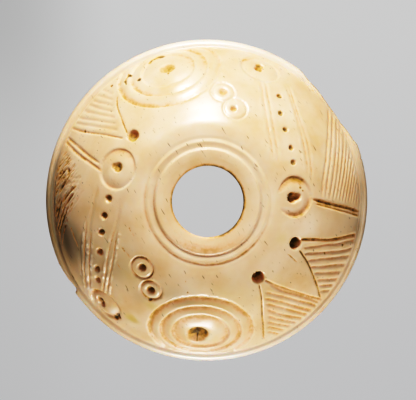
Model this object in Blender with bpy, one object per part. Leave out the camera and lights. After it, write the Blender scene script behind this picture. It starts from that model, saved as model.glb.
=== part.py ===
"""Bone spindle whorl.

A low turned dome with a stepped collar round the spindle hole, a narrow band at
the rim and a flat underside. The dome is cut with ring-and-dot motifs, drilled
holes, dotted bands between double lines and hatched triangles that stand on the
rim. Part of the rim band is broken away.

Metres, +Z up along the spindle hole, origin at the middle of the underside.
Places on the dome are given as an azimuth in degrees and as a share of the way
down the dome, from 0 at its pole to 1 at its foot.
"""
from math import asin, atan2, cos, pi, radians, sin, sqrt

import bmesh
import bpy
from mathutils import Vector

MM = 0.001

# Turned body
WHORL_DIAMETER = 36.0 * MM
RIM_BAND_WIDTH = 0.8 * MM
RIM_THICKNESS = 1.84 * MM
RIM_EDGE_BEVEL = 0.35 * MM
RIM_WALL_SHARE = 0.35
QUIRK_WIDTH = 0.16 * MM
QUIRK_DEPTH = 0.12 * MM
DOME_RISE = 11.69 * MM
BORE_DIAMETER = 8.1 * MM
BORE_FOOT_DIAMETER = 8.9 * MM
BORE_CHAMFER_TOP = 0.6 * MM
BORE_CHAMFER_FOOT = 0.3 * MM
UNDERSIDE_LINE_RADIUS = 13.2 * MM
UNDERSIDE_LINE_WIDTH = 0.5 * MM
UNDERSIDE_LINE_DEPTH = 0.2 * MM

# Collar round the hole: a flat seat in the dome and two lipped steps
SEAT_RADIUS = 8.75 * MM
SEAT_EDGE = 0.55 * MM
SEAT_RISE = 0.14 * MM
SEAT_DIP = 0.08 * MM
STEP_RADII = (6.85 * MM, 5.88 * MM)
STEP_HEIGHT = 0.27 * MM
STEP_SLOPE = 0.12 * MM
LIP_WIDTH = 0.18 * MM
LAND_DIP = 0.07 * MM
COLLAR_LINE_OFFSET = 0.1 * MM
COLLAR_LINE_WIDTH = 0.16 * MM
COLLAR_LINE_DEPTH = 0.08 * MM

# Facets: segments round the turned body, rows along its profile, corners of cuts
TURN_SEGMENTS = 48
DOME_ROWS = 8
RIM_ROWS = 3
RING_CORNERS = 12
RING_CORNERS_PER_MM = 4.8
LARGE_PIT_SIDES = 16
PIT_SIDES = 10
HOLE_SIDES = 12
DOT_SIDES = 8
LINE_POINTS = 6
EDGE_POINTS = 5
STROKE_POINTS = 4
SHARP_FROM = 18

# Ring-and-dot motifs: groove radii measured on the dome, and the middle pit.
# A ring groove slopes down from its inner edge to a floor set out by a share of
# its width, and rises steeply to its outer edge.
RING_LEAN = 0.26
LARGE_RING_RADII = (2.95 * MM, 4.45 * MM, 5.9 * MM)
LARGE_GROOVE_WIDTH = 0.95 * MM
LARGE_GROOVE_DEPTH = 0.3 * MM
LARGE_PIT_DIAMETER = 2.5 * MM
LARGE_PIT_DEPTH = 1.05 * MM
LARGE_MOTIFS = ((-93.1, 0.786), (107.1, 0.834))

MEDIUM_RING_RADIUS = 2.33 * MM
MEDIUM_GROOVE_WIDTH = 0.8 * MM
MEDIUM_GROOVE_DEPTH = 0.28 * MM
MEDIUM_PIT_DIAMETER = 1.2 * MM
MEDIUM_PIT_DEPTH = 0.9 * MM
MEDIUM_MOTIFS = ((160.3, 0.523), (4.0, 0.462), (68.6, 0.874), (-136.4, 0.908))

SMALL_RING_RADIUS = 1.36 * MM
SMALL_GROOVE_WIDTH = 0.42 * MM
SMALL_GROOVE_DEPTH = 0.2 * MM
SMALL_PIT_DIAMETER = 0.8 * MM
SMALL_PIT_DEPTH = 0.55 * MM
SMALL_MOTIFS = ((-135.6, 0.498), (-123.5, 0.575), (82.0, 0.618), (74.5, 0.529))

# Drilled holes at the tips of the hatched triangles
TIP_HOLE_DIAMETER = 1.4 * MM
TIP_HOLE_DEPTH = 2.2 * MM
TIP_HOLES = ((-24.9, 0.518), (-56.1, 0.477), (138.0, 0.544))

# Rows of dots between double lines, each row read off a curve through three places
DOT_DIAMETER = 0.76 * MM
DOT_DEPTH = 0.32 * MM
DOT_ROWS = (
    (((177.9, 0.540), (199.0, 0.628), (215.3, 0.797)), 6),
    (((25.2, 0.507), (43.4, 0.582), (56.0, 0.743)), 5),
)

# Single grooves of the double lines, each a curve through its listed places
LINE_GROOVE_WIDTH = 0.34 * MM
LINE_GROOVE_DEPTH = 0.17 * MM
BORDER_LINES = (
    ((180.0, 0.657), (197.5, 0.747), (213.3, 0.928)),
    ((170.0, 0.634), (194.2, 0.697), (215.0, 0.906)),
    ((180.0, 0.480), (205.0, 0.580), (224.2, 0.801)),
    ((205.0, 0.611), (214.6, 0.716), (221.7, 0.810)),
    ((20.0, 0.575), (38.3, 0.670), (55.4, 0.838)),
    ((10.8, 0.566), (32.9, 0.675), (55.4, 0.906)),
    ((22.5, 0.421), (50.0, 0.552), (66.7, 0.766)),
    ((24.5, 0.448), (49.0, 0.580), (64.0, 0.784)),
)
SPOKE_LINES = (
    ((-0.8, 0.589), (-4.6, 0.825), (-6.2, 0.965)),
    ((2.9, 0.585), (-1.7, 0.834), (-4.2, 0.974)),
    ((159.6, 0.648), (156.7, 0.825), (155.2, 0.974)),
    ((163.3, 0.625), (159.2, 0.825), (156.9, 0.978)),
)

# Strokes that gather beside the rim at the left
GATHERED_STROKES = (
    ((178.2, 0.794), (184.5, 0.848), (192.9, 0.953)),
    ((178.4, 0.844), (184.5, 0.893), (191.3, 0.966)),
    ((178.9, 0.894), (182.9, 0.928), (188.2, 0.971)),
)

# Hatched triangles: tip, left foot, right foot, bow of the right edge, strokes.
# Strokes start down the left edge, from its top share over its span, set inside it.
EDGE_GROOVE_WIDTH = 0.46 * MM
EDGE_GROOVE_DEPTH = 0.22 * MM
HATCH_GROOVE_WIDTH = 0.36 * MM
HATCH_GROOVE_DEPTH = 0.18 * MM
TIP_SPREAD = 4.0
HATCH_TOP = 0.12
HATCH_SPAN = 0.8
HATCH_GATHER = 1.5
HATCH_INSET = 0.08
HATCHED_TRIANGLES = (
    ((-26.0, 0.566), (-40.0, 0.933), (-13.2, 0.976), 0.35 * MM, 7),
    ((-56.5, 0.526), (-68.0, 0.971), (-42.0, 0.971), 0.30 * MM, 8),
    ((139.5, 0.600), (126.9, 0.964), (151.9, 0.971), 0.30 * MM, 6),
)

# Fine strokes of the triangle at the right, from a double line to the rim
FINE_GROOVE_WIDTH = 0.26 * MM
FINE_GROOVE_DEPTH = 0.15 * MM
FINE_STROKES = 11
FINE_START = ((4.2, 0.641), (1.0, 0.956))
FINE_END = ((37.0, 0.976), (6.5, 0.981))

# Breaks in the rim band: azimuths, with the depth as a share of the band's width
RIM_BREAKS = (
    ((21.0, 0.0), (28.0, 1.0), (45.0, 1.0), (53.0, 0.0)),
    ((-155.0, 0.0), (-148.5, 0.6), (-145.5, 0.6), (-144.5, 0.0)),
)
BREAK_SLOPE = 0.25 * MM
BREAK_STEPS = 4

# How far cutters stand out of the surface, and where grooves run out at the rim.
# A stroke ends at a share of its full width and depth.
STROKE_END = 0.45
CUT_OVER = 0.09 * MM
PIT_OVER = 0.3 * MM
RUN_OUT_START = 0.95
RUN_OUT_END = 1.0
RUN_OUT_LIFT = 1.1 * MM
BREAK_OVER = 1.0 * MM

WHORL_RADIUS = WHORL_DIAMETER / 2
FOOT_RADIUS = WHORL_RADIUS - RIM_BAND_WIDTH
BORE_RADIUS = BORE_DIAMETER / 2
BORE_FOOT_RADIUS = BORE_FOOT_DIAMETER / 2
DOME_RADIUS = (DOME_RISE ** 2 + FOOT_RADIUS ** 2) / (2 * DOME_RISE)
DOME_CENTRE = Vector((0.0, 0.0, RIM_THICKNESS + DOME_RISE - DOME_RADIUS))
FOOT_ANGLE = atan2(FOOT_RADIUS, DOME_RADIUS - DOME_RISE)


def clear_scene():
    """Remove every object that the file opened with."""
    for old in list(bpy.data.objects):
        bpy.data.objects.remove(old, do_unlink=True)


def bone_material():
    """Polished old bone, ivory in colour."""
    material = bpy.data.materials.new("bone")
    material.use_nodes = True
    shader = material.node_tree.nodes["Principled BSDF"]
    shader.inputs["Base Color"].default_value = (0.76, 0.62, 0.40, 1.0)
    shader.inputs["Roughness"].default_value = 0.38
    shader.inputs["Metallic"].default_value = 0.0
    return material


def dome_direction(azimuth, share):
    """Unit vector from the dome's centre to a place on it."""
    polar = share * FOOT_ANGLE
    turn = radians(azimuth)
    return Vector((sin(polar) * cos(turn), sin(polar) * sin(turn), cos(polar)))


def dome_height(radius):
    """Height of the dome over a circle about the spindle hole."""
    return DOME_CENTRE.z + sqrt(DOME_RADIUS ** 2 - radius ** 2)


def share_of(direction):
    """How far down the dome a direction from its centre points, 1 at the foot."""
    return atan2(Vector((direction.x, direction.y)).length, direction.z) / FOOT_ANGLE


def run_out(direction):
    """Lift of a groove's floor, which rises out of the surface at the rim."""
    share = (share_of(direction) - RUN_OUT_START) / (RUN_OUT_END - RUN_OUT_START)
    return RUN_OUT_LIFT * min(max(share, 0.0), 1.0)


def underside_profile():
    """Radius and height along the flat underside, from the bore to the edge."""
    half_line = UNDERSIDE_LINE_WIDTH / 2
    return [
        (BORE_FOOT_RADIUS, BORE_CHAMFER_FOOT),
        (BORE_FOOT_RADIUS + BORE_CHAMFER_FOOT, 0.0),
        (UNDERSIDE_LINE_RADIUS - half_line, 0.0),
        (UNDERSIDE_LINE_RADIUS, UNDERSIDE_LINE_DEPTH),
        (UNDERSIDE_LINE_RADIUS + half_line, 0.0),
        (WHORL_RADIUS - RIM_EDGE_BEVEL, 0.0),
    ]


def rim_profile():
    """Radius and height up the rounded rim band and over the quirk behind it."""
    height = RIM_THICKNESS - RIM_EDGE_BEVEL
    wall_top = RIM_EDGE_BEVEL + height * RIM_WALL_SHARE
    reach = RIM_BAND_WIDTH - QUIRK_WIDTH
    points = [(WHORL_RADIUS, RIM_EDGE_BEVEL)]
    for row in range(RIM_ROWS + 1):
        angle = pi / 2 * row / RIM_ROWS
        radius = WHORL_RADIUS - reach * (1 - cos(angle))
        points.append((radius, wall_top + (RIM_THICKNESS - wall_top) * sin(angle)))
    points.append((FOOT_RADIUS + QUIRK_WIDTH / 2, RIM_THICKNESS - QUIRK_DEPTH))
    return points


def dome_profile():
    """Radius and height up the dome, from its foot to the collar's seat."""
    top_angle = asin(SEAT_RADIUS / DOME_RADIUS)
    points = []
    for row in range(DOME_ROWS + 1):
        angle = FOOT_ANGLE + (top_angle - FOOT_ANGLE) * row / DOME_ROWS
        points.append((DOME_RADIUS * sin(angle), DOME_CENTRE.z + DOME_RADIUS * cos(angle)))
    return points


def collar_profile():
    """Radius and height across the seat, up both lipped steps and into the bore."""
    level = dome_height(SEAT_RADIUS) + SEAT_RISE
    points = [(SEAT_RADIUS - SEAT_EDGE, level)]
    outer = SEAT_RADIUS - SEAT_EDGE
    dip = SEAT_DIP
    for radius in STEP_RADII:
        points.append(((outer + radius) / 2, level - dip))
        points.append((radius + STEP_SLOPE / 2, level - dip / 2))
        level += STEP_HEIGHT
        points.append((radius - STEP_SLOPE / 2, level))
        outer = radius - STEP_SLOPE / 2 - LIP_WIDTH
        points.append((outer, level))
        dip = LAND_DIP
    chamfer_radius = BORE_RADIUS + BORE_CHAMFER_TOP
    line_inner = chamfer_radius + COLLAR_LINE_OFFSET
    land = level - LAND_DIP
    points.append((line_inner + COLLAR_LINE_WIDTH, land))
    points.append((line_inner + COLLAR_LINE_WIDTH / 2, land - COLLAR_LINE_DEPTH))
    points.append((line_inner, land))
    points.append((chamfer_radius, land))
    points.append((BORE_RADIUS, land - BORE_CHAMFER_TOP))
    return points


def new_object(name, mesh_data):
    """Wrap a finished bmesh in a linked object."""
    mesh = bpy.data.meshes.new(name)
    mesh_data.to_mesh(mesh)
    mesh_data.free()
    obj = bpy.data.objects.new(name, mesh)
    bpy.context.scene.collection.objects.link(obj)
    return obj


def turned_body(name):
    """Turn the whole profile round the spindle hole as one closed ring."""
    profile = underside_profile() + rim_profile() + dome_profile() + collar_profile()
    work = bmesh.new()
    rings = []
    for segment in range(TURN_SEGMENTS):
        turn = 2 * pi * segment / TURN_SEGMENTS
        rings.append([work.verts.new((r * cos(turn), r * sin(turn), z)) for r, z in profile])
    for segment, ring in enumerate(rings):
        following = rings[(segment + 1) % TURN_SEGMENTS]
        for row in range(len(profile)):
            after = (row + 1) % len(profile)
            work.faces.new((ring[row], ring[after], following[after], following[row]))
    bmesh.ops.recalc_face_normals(work, faces=work.faces)
    return new_object(name, work)


def add_loft(work, sections, closed):
    """Skin equal sections one after another; a closed loft joins its ends."""
    rows = [[work.verts.new(point) for point in section] for section in sections]
    spans = len(rows) if closed else len(rows) - 1
    sides = len(rows[0])
    faces = []
    for span in range(spans):
        here = rows[span]
        there = rows[(span + 1) % len(rows)]
        for side in range(sides):
            after = (side + 1) % sides
            faces.append(work.faces.new((here[side], here[after], there[after], there[side])))
    if not closed:
        faces.append(work.faces.new(list(reversed(rows[0]))))
        faces.append(work.faces.new(rows[-1]))
    bmesh.ops.recalc_face_normals(work, faces=faces)


def top_over(directions):
    """Height of a cutter's top that clears the dome between its sections too."""
    span = max((b - a).length for a, b in zip(directions, directions[1:])) * DOME_RADIUS
    return CUT_OVER + span ** 2 / (8 * DOME_RADIUS)


def groove_section(direction, side, width, depth, over, lean=0.0):
    """Three corners of a groove's V at one place, its floor set towards one side."""
    surface = DOME_CENTRE + direction * (DOME_RADIUS + run_out(direction))
    floor = lean * width
    widened = over / depth
    near = width / 2 + (width / 2 - floor) * widened
    far = width / 2 + (width / 2 + floor) * widened
    return [
        surface - direction * depth + side * floor,
        surface + direction * over + side * near,
        surface + direction * over - side * far,
    ]


def local_axes(centre):
    """Two directions along the dome at a place: round it and down it."""
    round_it = Vector((-centre.y, centre.x, 0.0)).normalized()
    return round_it, round_it.cross(centre)


def add_ring_groove(work, centre, radius, width, depth):
    """A leaning V groove on a circle about a place on the dome."""
    round_it, down_it = local_axes(centre)
    count = round(RING_CORNERS + RING_CORNERS_PER_MM * radius / MM)
    reach = radius / DOME_RADIUS
    directions = []
    sides = []
    for step in range(count):
        turn = 2 * pi * step / count
        outward = round_it * cos(turn) + down_it * sin(turn)
        directions.append(centre * cos(reach) + outward * sin(reach))
        sides.append(outward * cos(reach) - centre * sin(reach))
    over = top_over(directions)
    sections = [groove_section(direction, side, width, depth, over, RING_LEAN)
                for direction, side in zip(directions, sides)]
    add_loft(work, sections, closed=True)


def add_drilling(work, centre, outline, sides):
    """A round cutter along the dome's normal; outline holds radius and depth."""
    round_it, down_it = local_axes(centre)
    surface = DOME_CENTRE + centre * DOME_RADIUS
    tip = work.verts.new(surface - centre * outline[-1][1])
    rings = []
    for radius, depth in outline[:-1]:
        ring = []
        for side in range(sides):
            turn = 2 * pi * side / sides
            outward = round_it * cos(turn) + down_it * sin(turn)
            ring.append(work.verts.new(surface + outward * radius - centre * depth))
        rings.append(ring)
    faces = [work.faces.new(rings[0])]
    for upper, lower in zip(rings, rings[1:]):
        for side in range(sides):
            after = (side + 1) % sides
            faces.append(work.faces.new((upper[side], lower[side], lower[after], upper[after])))
    for side in range(sides):
        faces.append(work.faces.new((rings[-1][side], tip, rings[-1][(side + 1) % sides])))
    bmesh.ops.recalc_face_normals(work, faces=faces)


def add_pit(work, place, diameter, depth, sides):
    """A conical pit that opens to its diameter at the surface."""
    mouth = diameter / 2 * (depth + PIT_OVER) / depth
    add_drilling(work, dome_direction(*place), [(mouth, -PIT_OVER), (0.0, depth)], sides)


def add_tip_hole(work, place):
    """A straight drilled hole with the drill's point at its end."""
    radius = TIP_HOLE_DIAMETER / 2
    outline = [(radius, -PIT_OVER), (radius, TIP_HOLE_DEPTH - radius / 2), (0.0, TIP_HOLE_DEPTH)]
    add_drilling(work, dome_direction(*place), outline, HOLE_SIDES)


def curve_directions(places, count):
    """Directions spread evenly along the smooth curve through three places."""
    first, middle, last = places
    found = []
    for step in range(count):
        t = step / (count - 1)
        weights = ((1 - t) * (1 - 2 * t), 4 * t * (1 - t), t * (2 * t - 1))
        pair = [sum(w * p[i] for w, p in zip(weights, (first, middle, last))) for i in (0, 1)]
        found.append(dome_direction(*pair))
    return found


def stroke_directions(start, end, bow, count):
    """Directions along a nearly straight stroke that bows to its right."""
    first = dome_direction(*start)
    last = dome_direction(*end)
    across = first.cross(last).normalized()
    found = []
    for step in range(count):
        t = step / (count - 1)
        path = first.lerp(last, t) - across * (4 * t * (1 - t) * bow / DOME_RADIUS)
        found.append(path.normalized())
    return found


def add_line_groove(work, directions, width, depth):
    """A V groove along the dome with sharp ends, like a graver's stroke."""
    sections = []
    over = top_over(directions)
    last = len(directions) - 1
    for index, direction in enumerate(directions):
        ahead = directions[min(index + 1, last)] - directions[max(index - 1, 0)]
        side = direction.cross(ahead).normalized()
        share = STROKE_END if index in (0, last) else 1.0
        sections.append(groove_section(direction, side, width * share, depth * share, over))
    add_loft(work, sections, closed=False)


def add_large_motif(work, place):
    """One large motif: three ring grooves and the wide middle pit."""
    for radius in LARGE_RING_RADII:
        centre = dome_direction(*place)
        add_ring_groove(work, centre, radius, LARGE_GROOVE_WIDTH, LARGE_GROOVE_DEPTH)
    add_pit(work, place, LARGE_PIT_DIAMETER, LARGE_PIT_DEPTH, LARGE_PIT_SIDES)


def add_medium_motif(work, place):
    """One medium ring groove with its middle pit."""
    centre = dome_direction(*place)
    add_ring_groove(work, centre, MEDIUM_RING_RADIUS, MEDIUM_GROOVE_WIDTH, MEDIUM_GROOVE_DEPTH)
    add_pit(work, place, MEDIUM_PIT_DIAMETER, MEDIUM_PIT_DEPTH, PIT_SIDES)


def add_small_motif(work, place):
    """One small ring groove with its middle pit."""
    centre = dome_direction(*place)
    add_ring_groove(work, centre, SMALL_RING_RADIUS, SMALL_GROOVE_WIDTH, SMALL_GROOVE_DEPTH)
    add_pit(work, place, SMALL_PIT_DIAMETER, SMALL_PIT_DEPTH, PIT_SIDES)


def add_dot_row(work, places, count):
    """The dots that follow the middle of one band."""
    mouth = DOT_DIAMETER / 2 * (DOT_DEPTH + CUT_OVER) / DOT_DEPTH
    for direction in curve_directions(places, count):
        add_drilling(work, direction, [(mouth, -CUT_OVER), (0.0, DOT_DEPTH)], DOT_SIDES)


def add_curved_line(work, places, width, depth):
    """One groove along the smooth curve through three places."""
    add_line_groove(work, curve_directions(places, LINE_POINTS), width, depth)


def add_hatched_triangle(work, tip, left_foot, right_foot, bow, strokes):
    """The two edges of a triangle and the strokes beside its right edge."""
    right_edge = stroke_directions((tip[0] + TIP_SPREAD, tip[1]), right_foot, -bow, EDGE_POINTS)
    add_line_groove(work, right_edge, EDGE_GROOVE_WIDTH, EDGE_GROOVE_DEPTH)
    left_edge = stroke_directions(tip, left_foot, 0.0, EDGE_POINTS)
    add_line_groove(work, left_edge, HATCH_GROOVE_WIDTH, HATCH_GROOVE_DEPTH)
    for stroke in range(1, strokes + 1):
        share = stroke / (strokes + 1)
        along = HATCH_TOP + HATCH_SPAN * share ** HATCH_GATHER
        start = [t + (f - t) * along for t, f in zip(tip, left_foot)]
        start[0] += HATCH_INSET * (right_foot[0] - left_foot[0])
        end = [r + (f - r) * share for r, f in zip(right_foot, left_foot)]
        directions = stroke_directions(start, end, -bow * (1 - share), STROKE_POINTS)
        add_line_groove(work, directions, HATCH_GROOVE_WIDTH, HATCH_GROOVE_DEPTH)


def add_fine_strokes(work):
    """The fine strokes between a double line and the rim."""
    for stroke in range(FINE_STROKES):
        share = stroke / FINE_STROKES
        start = [a + (b - a) * share for a, b in zip(*FINE_START)]
        end = [a + (b - a) * share for a, b in zip(*FINE_END)]
        directions = stroke_directions(start, end, 0.0, STROKE_POINTS)
        add_line_groove(work, directions, FINE_GROOVE_WIDTH, FINE_GROOVE_DEPTH)


def add_rim_break(work, depths):
    """What one break takes from the rim band, sloping out to its foot."""
    places = []
    for (turn_a, share_a), (turn_b, share_b) in zip(depths, depths[1:]):
        for step in range(BREAK_STEPS):
            t = step / BREAK_STEPS
            places.append((turn_a + (turn_b - turn_a) * t, share_a + (share_b - share_a) * t))
    places.append(depths[-1])
    outside = WHORL_RADIUS + BREAK_OVER
    below = Vector((0.0, 0.0, -BREAK_OVER))
    above = Vector((0.0, 0.0, RIM_THICKNESS + BREAK_OVER))
    sections = []
    for azimuth, share in places:
        top = WHORL_RADIUS - share * RIM_BAND_WIDTH
        foot = min(top + BREAK_SLOPE * share, WHORL_RADIUS)
        out = Vector((cos(radians(azimuth)), sin(radians(azimuth)), 0.0))
        sections.append([out * foot + below, out * outside + below,
                         out * outside + above, out * top + above])
    add_loft(work, sections, closed=False)


def carving():
    """Everything that is cut, drilled or scratched into the dome."""
    work = bmesh.new()
    for place in LARGE_MOTIFS:
        add_large_motif(work, place)
    for place in MEDIUM_MOTIFS:
        add_medium_motif(work, place)
    for place in SMALL_MOTIFS:
        add_small_motif(work, place)
    for place in TIP_HOLES:
        add_tip_hole(work, place)
    for places, count in DOT_ROWS:
        add_dot_row(work, places, count)
    for places in BORDER_LINES + SPOKE_LINES:
        add_curved_line(work, places, LINE_GROOVE_WIDTH, LINE_GROOVE_DEPTH)
    for places in GATHERED_STROKES:
        add_curved_line(work, places, HATCH_GROOVE_WIDTH, HATCH_GROOVE_DEPTH)
    for triangle in HATCHED_TRIANGLES:
        add_hatched_triangle(work, *triangle)
    add_fine_strokes(work)
    return work


def rim_breaks():
    """Everything that is broken away from the rim band."""
    work = bmesh.new()
    for depths in RIM_BREAKS:
        add_rim_break(work, depths)
    return work


def cut(body, name, work):
    """Take a cutter out of the body with a Boolean that stays on it."""
    cutter = new_object(name, work)
    cutter.hide_render = True
    cutter.display_type = "WIRE"
    boolean = body.modifiers.new(name, "BOOLEAN")
    boolean.operation = "DIFFERENCE"
    boolean.solver = "EXACT"
    boolean.use_self = True
    boolean.object = cutter


def build_whorl():
    """The whole whorl, one carved piece of bone."""
    whorl = turned_body("whorl")
    whorl.data.materials.append(bone_material())
    whorl.data.shade_smooth()
    whorl.data.set_sharp_from_angle(angle=radians(SHARP_FROM))
    cut(whorl, "cut_carving", carving())
    cut(whorl, "cut_rim_breaks", rim_breaks())


clear_scene()
build_whorl()
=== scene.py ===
"""Looks of the bone spindle whorl: fine carving, polished old bone, light and camera.

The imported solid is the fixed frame. One fine mesh stands for it. That mesh follows
the same turned body and carries every groove, drilling, scratch and chip at its
place. Lengths here are in millimetres until a mesh is made. A place on the dome is
an azimuth in degrees, anticlockwise from the right of the photograph, and an arc,
the way along the dome from its pole.
"""
import logging
import math
from collections.abc import Sequence
from dataclasses import dataclass, field
from enum import Enum, IntEnum
from typing import ClassVar, Protocol

import bpy
import numpy as np
from mathutils import Matrix, Vector


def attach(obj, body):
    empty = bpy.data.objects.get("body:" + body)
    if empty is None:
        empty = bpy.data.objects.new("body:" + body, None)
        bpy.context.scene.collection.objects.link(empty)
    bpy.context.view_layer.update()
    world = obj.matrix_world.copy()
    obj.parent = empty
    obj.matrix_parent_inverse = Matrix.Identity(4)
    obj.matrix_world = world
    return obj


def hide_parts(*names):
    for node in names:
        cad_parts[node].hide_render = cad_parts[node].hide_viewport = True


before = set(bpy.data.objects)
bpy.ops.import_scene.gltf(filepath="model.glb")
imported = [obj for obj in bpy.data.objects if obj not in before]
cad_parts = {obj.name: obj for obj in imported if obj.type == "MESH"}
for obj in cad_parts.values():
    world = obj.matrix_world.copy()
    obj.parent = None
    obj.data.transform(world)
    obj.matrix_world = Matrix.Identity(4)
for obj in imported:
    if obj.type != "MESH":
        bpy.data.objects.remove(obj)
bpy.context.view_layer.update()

MM = 0.001
BODY = "root"
NODE = "whorl"
log = logging.getLogger("spindle_whorl")

# A place is an azimuth and an arc, a line is a row of places, and a table gives a
# value for each of a few angles in degrees, or for each of a few arcs.
Place = tuple[float, float]
Line = tuple[Place, ...]
Table = tuple[tuple[float, float], ...]


def unit(vectors: np.ndarray) -> np.ndarray:
    """Vectors scaled to length one, along the last axis."""
    return vectors / np.linalg.norm(vectors, axis=-1, keepdims=True)


def smooth_step(values: np.ndarray, low: float, high: float) -> np.ndarray:
    """Ease from 0 at low to 1 at high."""
    share = np.clip((values - low) / (high - low), 0.0, 1.0)
    return share * share * (3.0 - 2.0 * share)


def read_table(table: Table, places: np.ndarray | float) -> np.ndarray:
    """Values of a table at angles or arcs, straight between its entries."""
    return np.interp(places, *zip(*table))


class LatticeNoise:
    """Smooth seeded noise in space, between minus one and one."""

    table_size: ClassVar[int] = 4096
    hash_primes: ClassVar[tuple[int, int, int]] = (73856093, 19349663, 83492791)

    def __init__(self, wavelength: float, seed: int) -> None:
        """Keep the wavelength in millimetres and a table of random values."""
        self.wavelength = wavelength
        self.table = np.random.default_rng(seed).uniform(-1.0, 1.0, self.table_size)

    def at(self, points: np.ndarray) -> np.ndarray:
        """Noise at points.

        Args:
            points: an array of places, three coordinates each, in millimetres.

        Returns:
            One value for each place.
        """
        scaled = points / self.wavelength
        cell = np.floor(scaled).astype(np.int64)
        inside = scaled - cell
        inside = inside * inside * (3.0 - 2.0 * inside)
        total = np.zeros(len(points))
        for corner in range(8):
            offset = np.array([corner & 1, corner >> 1 & 1, corner >> 2 & 1])
            key = np.bitwise_xor.reduce((cell + offset) * np.array(self.hash_primes), axis=1)
            share = np.where(offset, inside, 1.0 - inside).prod(axis=1)
            total += share * self.table[key % self.table_size]
        return total


@dataclass(frozen=True)
class Dome:
    """The ball that the dome is a part of, in millimetres."""

    foot_radius: float = 17.2
    foot_height: float = 1.84
    rise: float = 11.69

    @property
    def radius(self) -> float:
        """Radius of the ball."""
        return (self.rise ** 2 + self.foot_radius ** 2) / (2.0 * self.rise)

    @property
    def centre(self) -> np.ndarray:
        """Centre of the ball, on the spindle axis."""
        return np.array([0.0, 0.0, self.foot_height + self.rise - self.radius])

    def direction(self, azimuth: float, arc: float) -> np.ndarray:
        """Unit vector from the centre to a place."""
        turn, polar = math.radians(azimuth), arc / self.radius
        return np.array([
            math.sin(polar) * math.cos(turn),
            math.sin(polar) * math.sin(turn),
            math.cos(polar),
        ])

    def arcs(self, directions: np.ndarray) -> np.ndarray:
        """Arc from the pole for each direction."""
        return self.radius * np.arccos(np.clip(directions[:, 2], -1.0, 1.0))


DOME = Dome()


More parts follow.
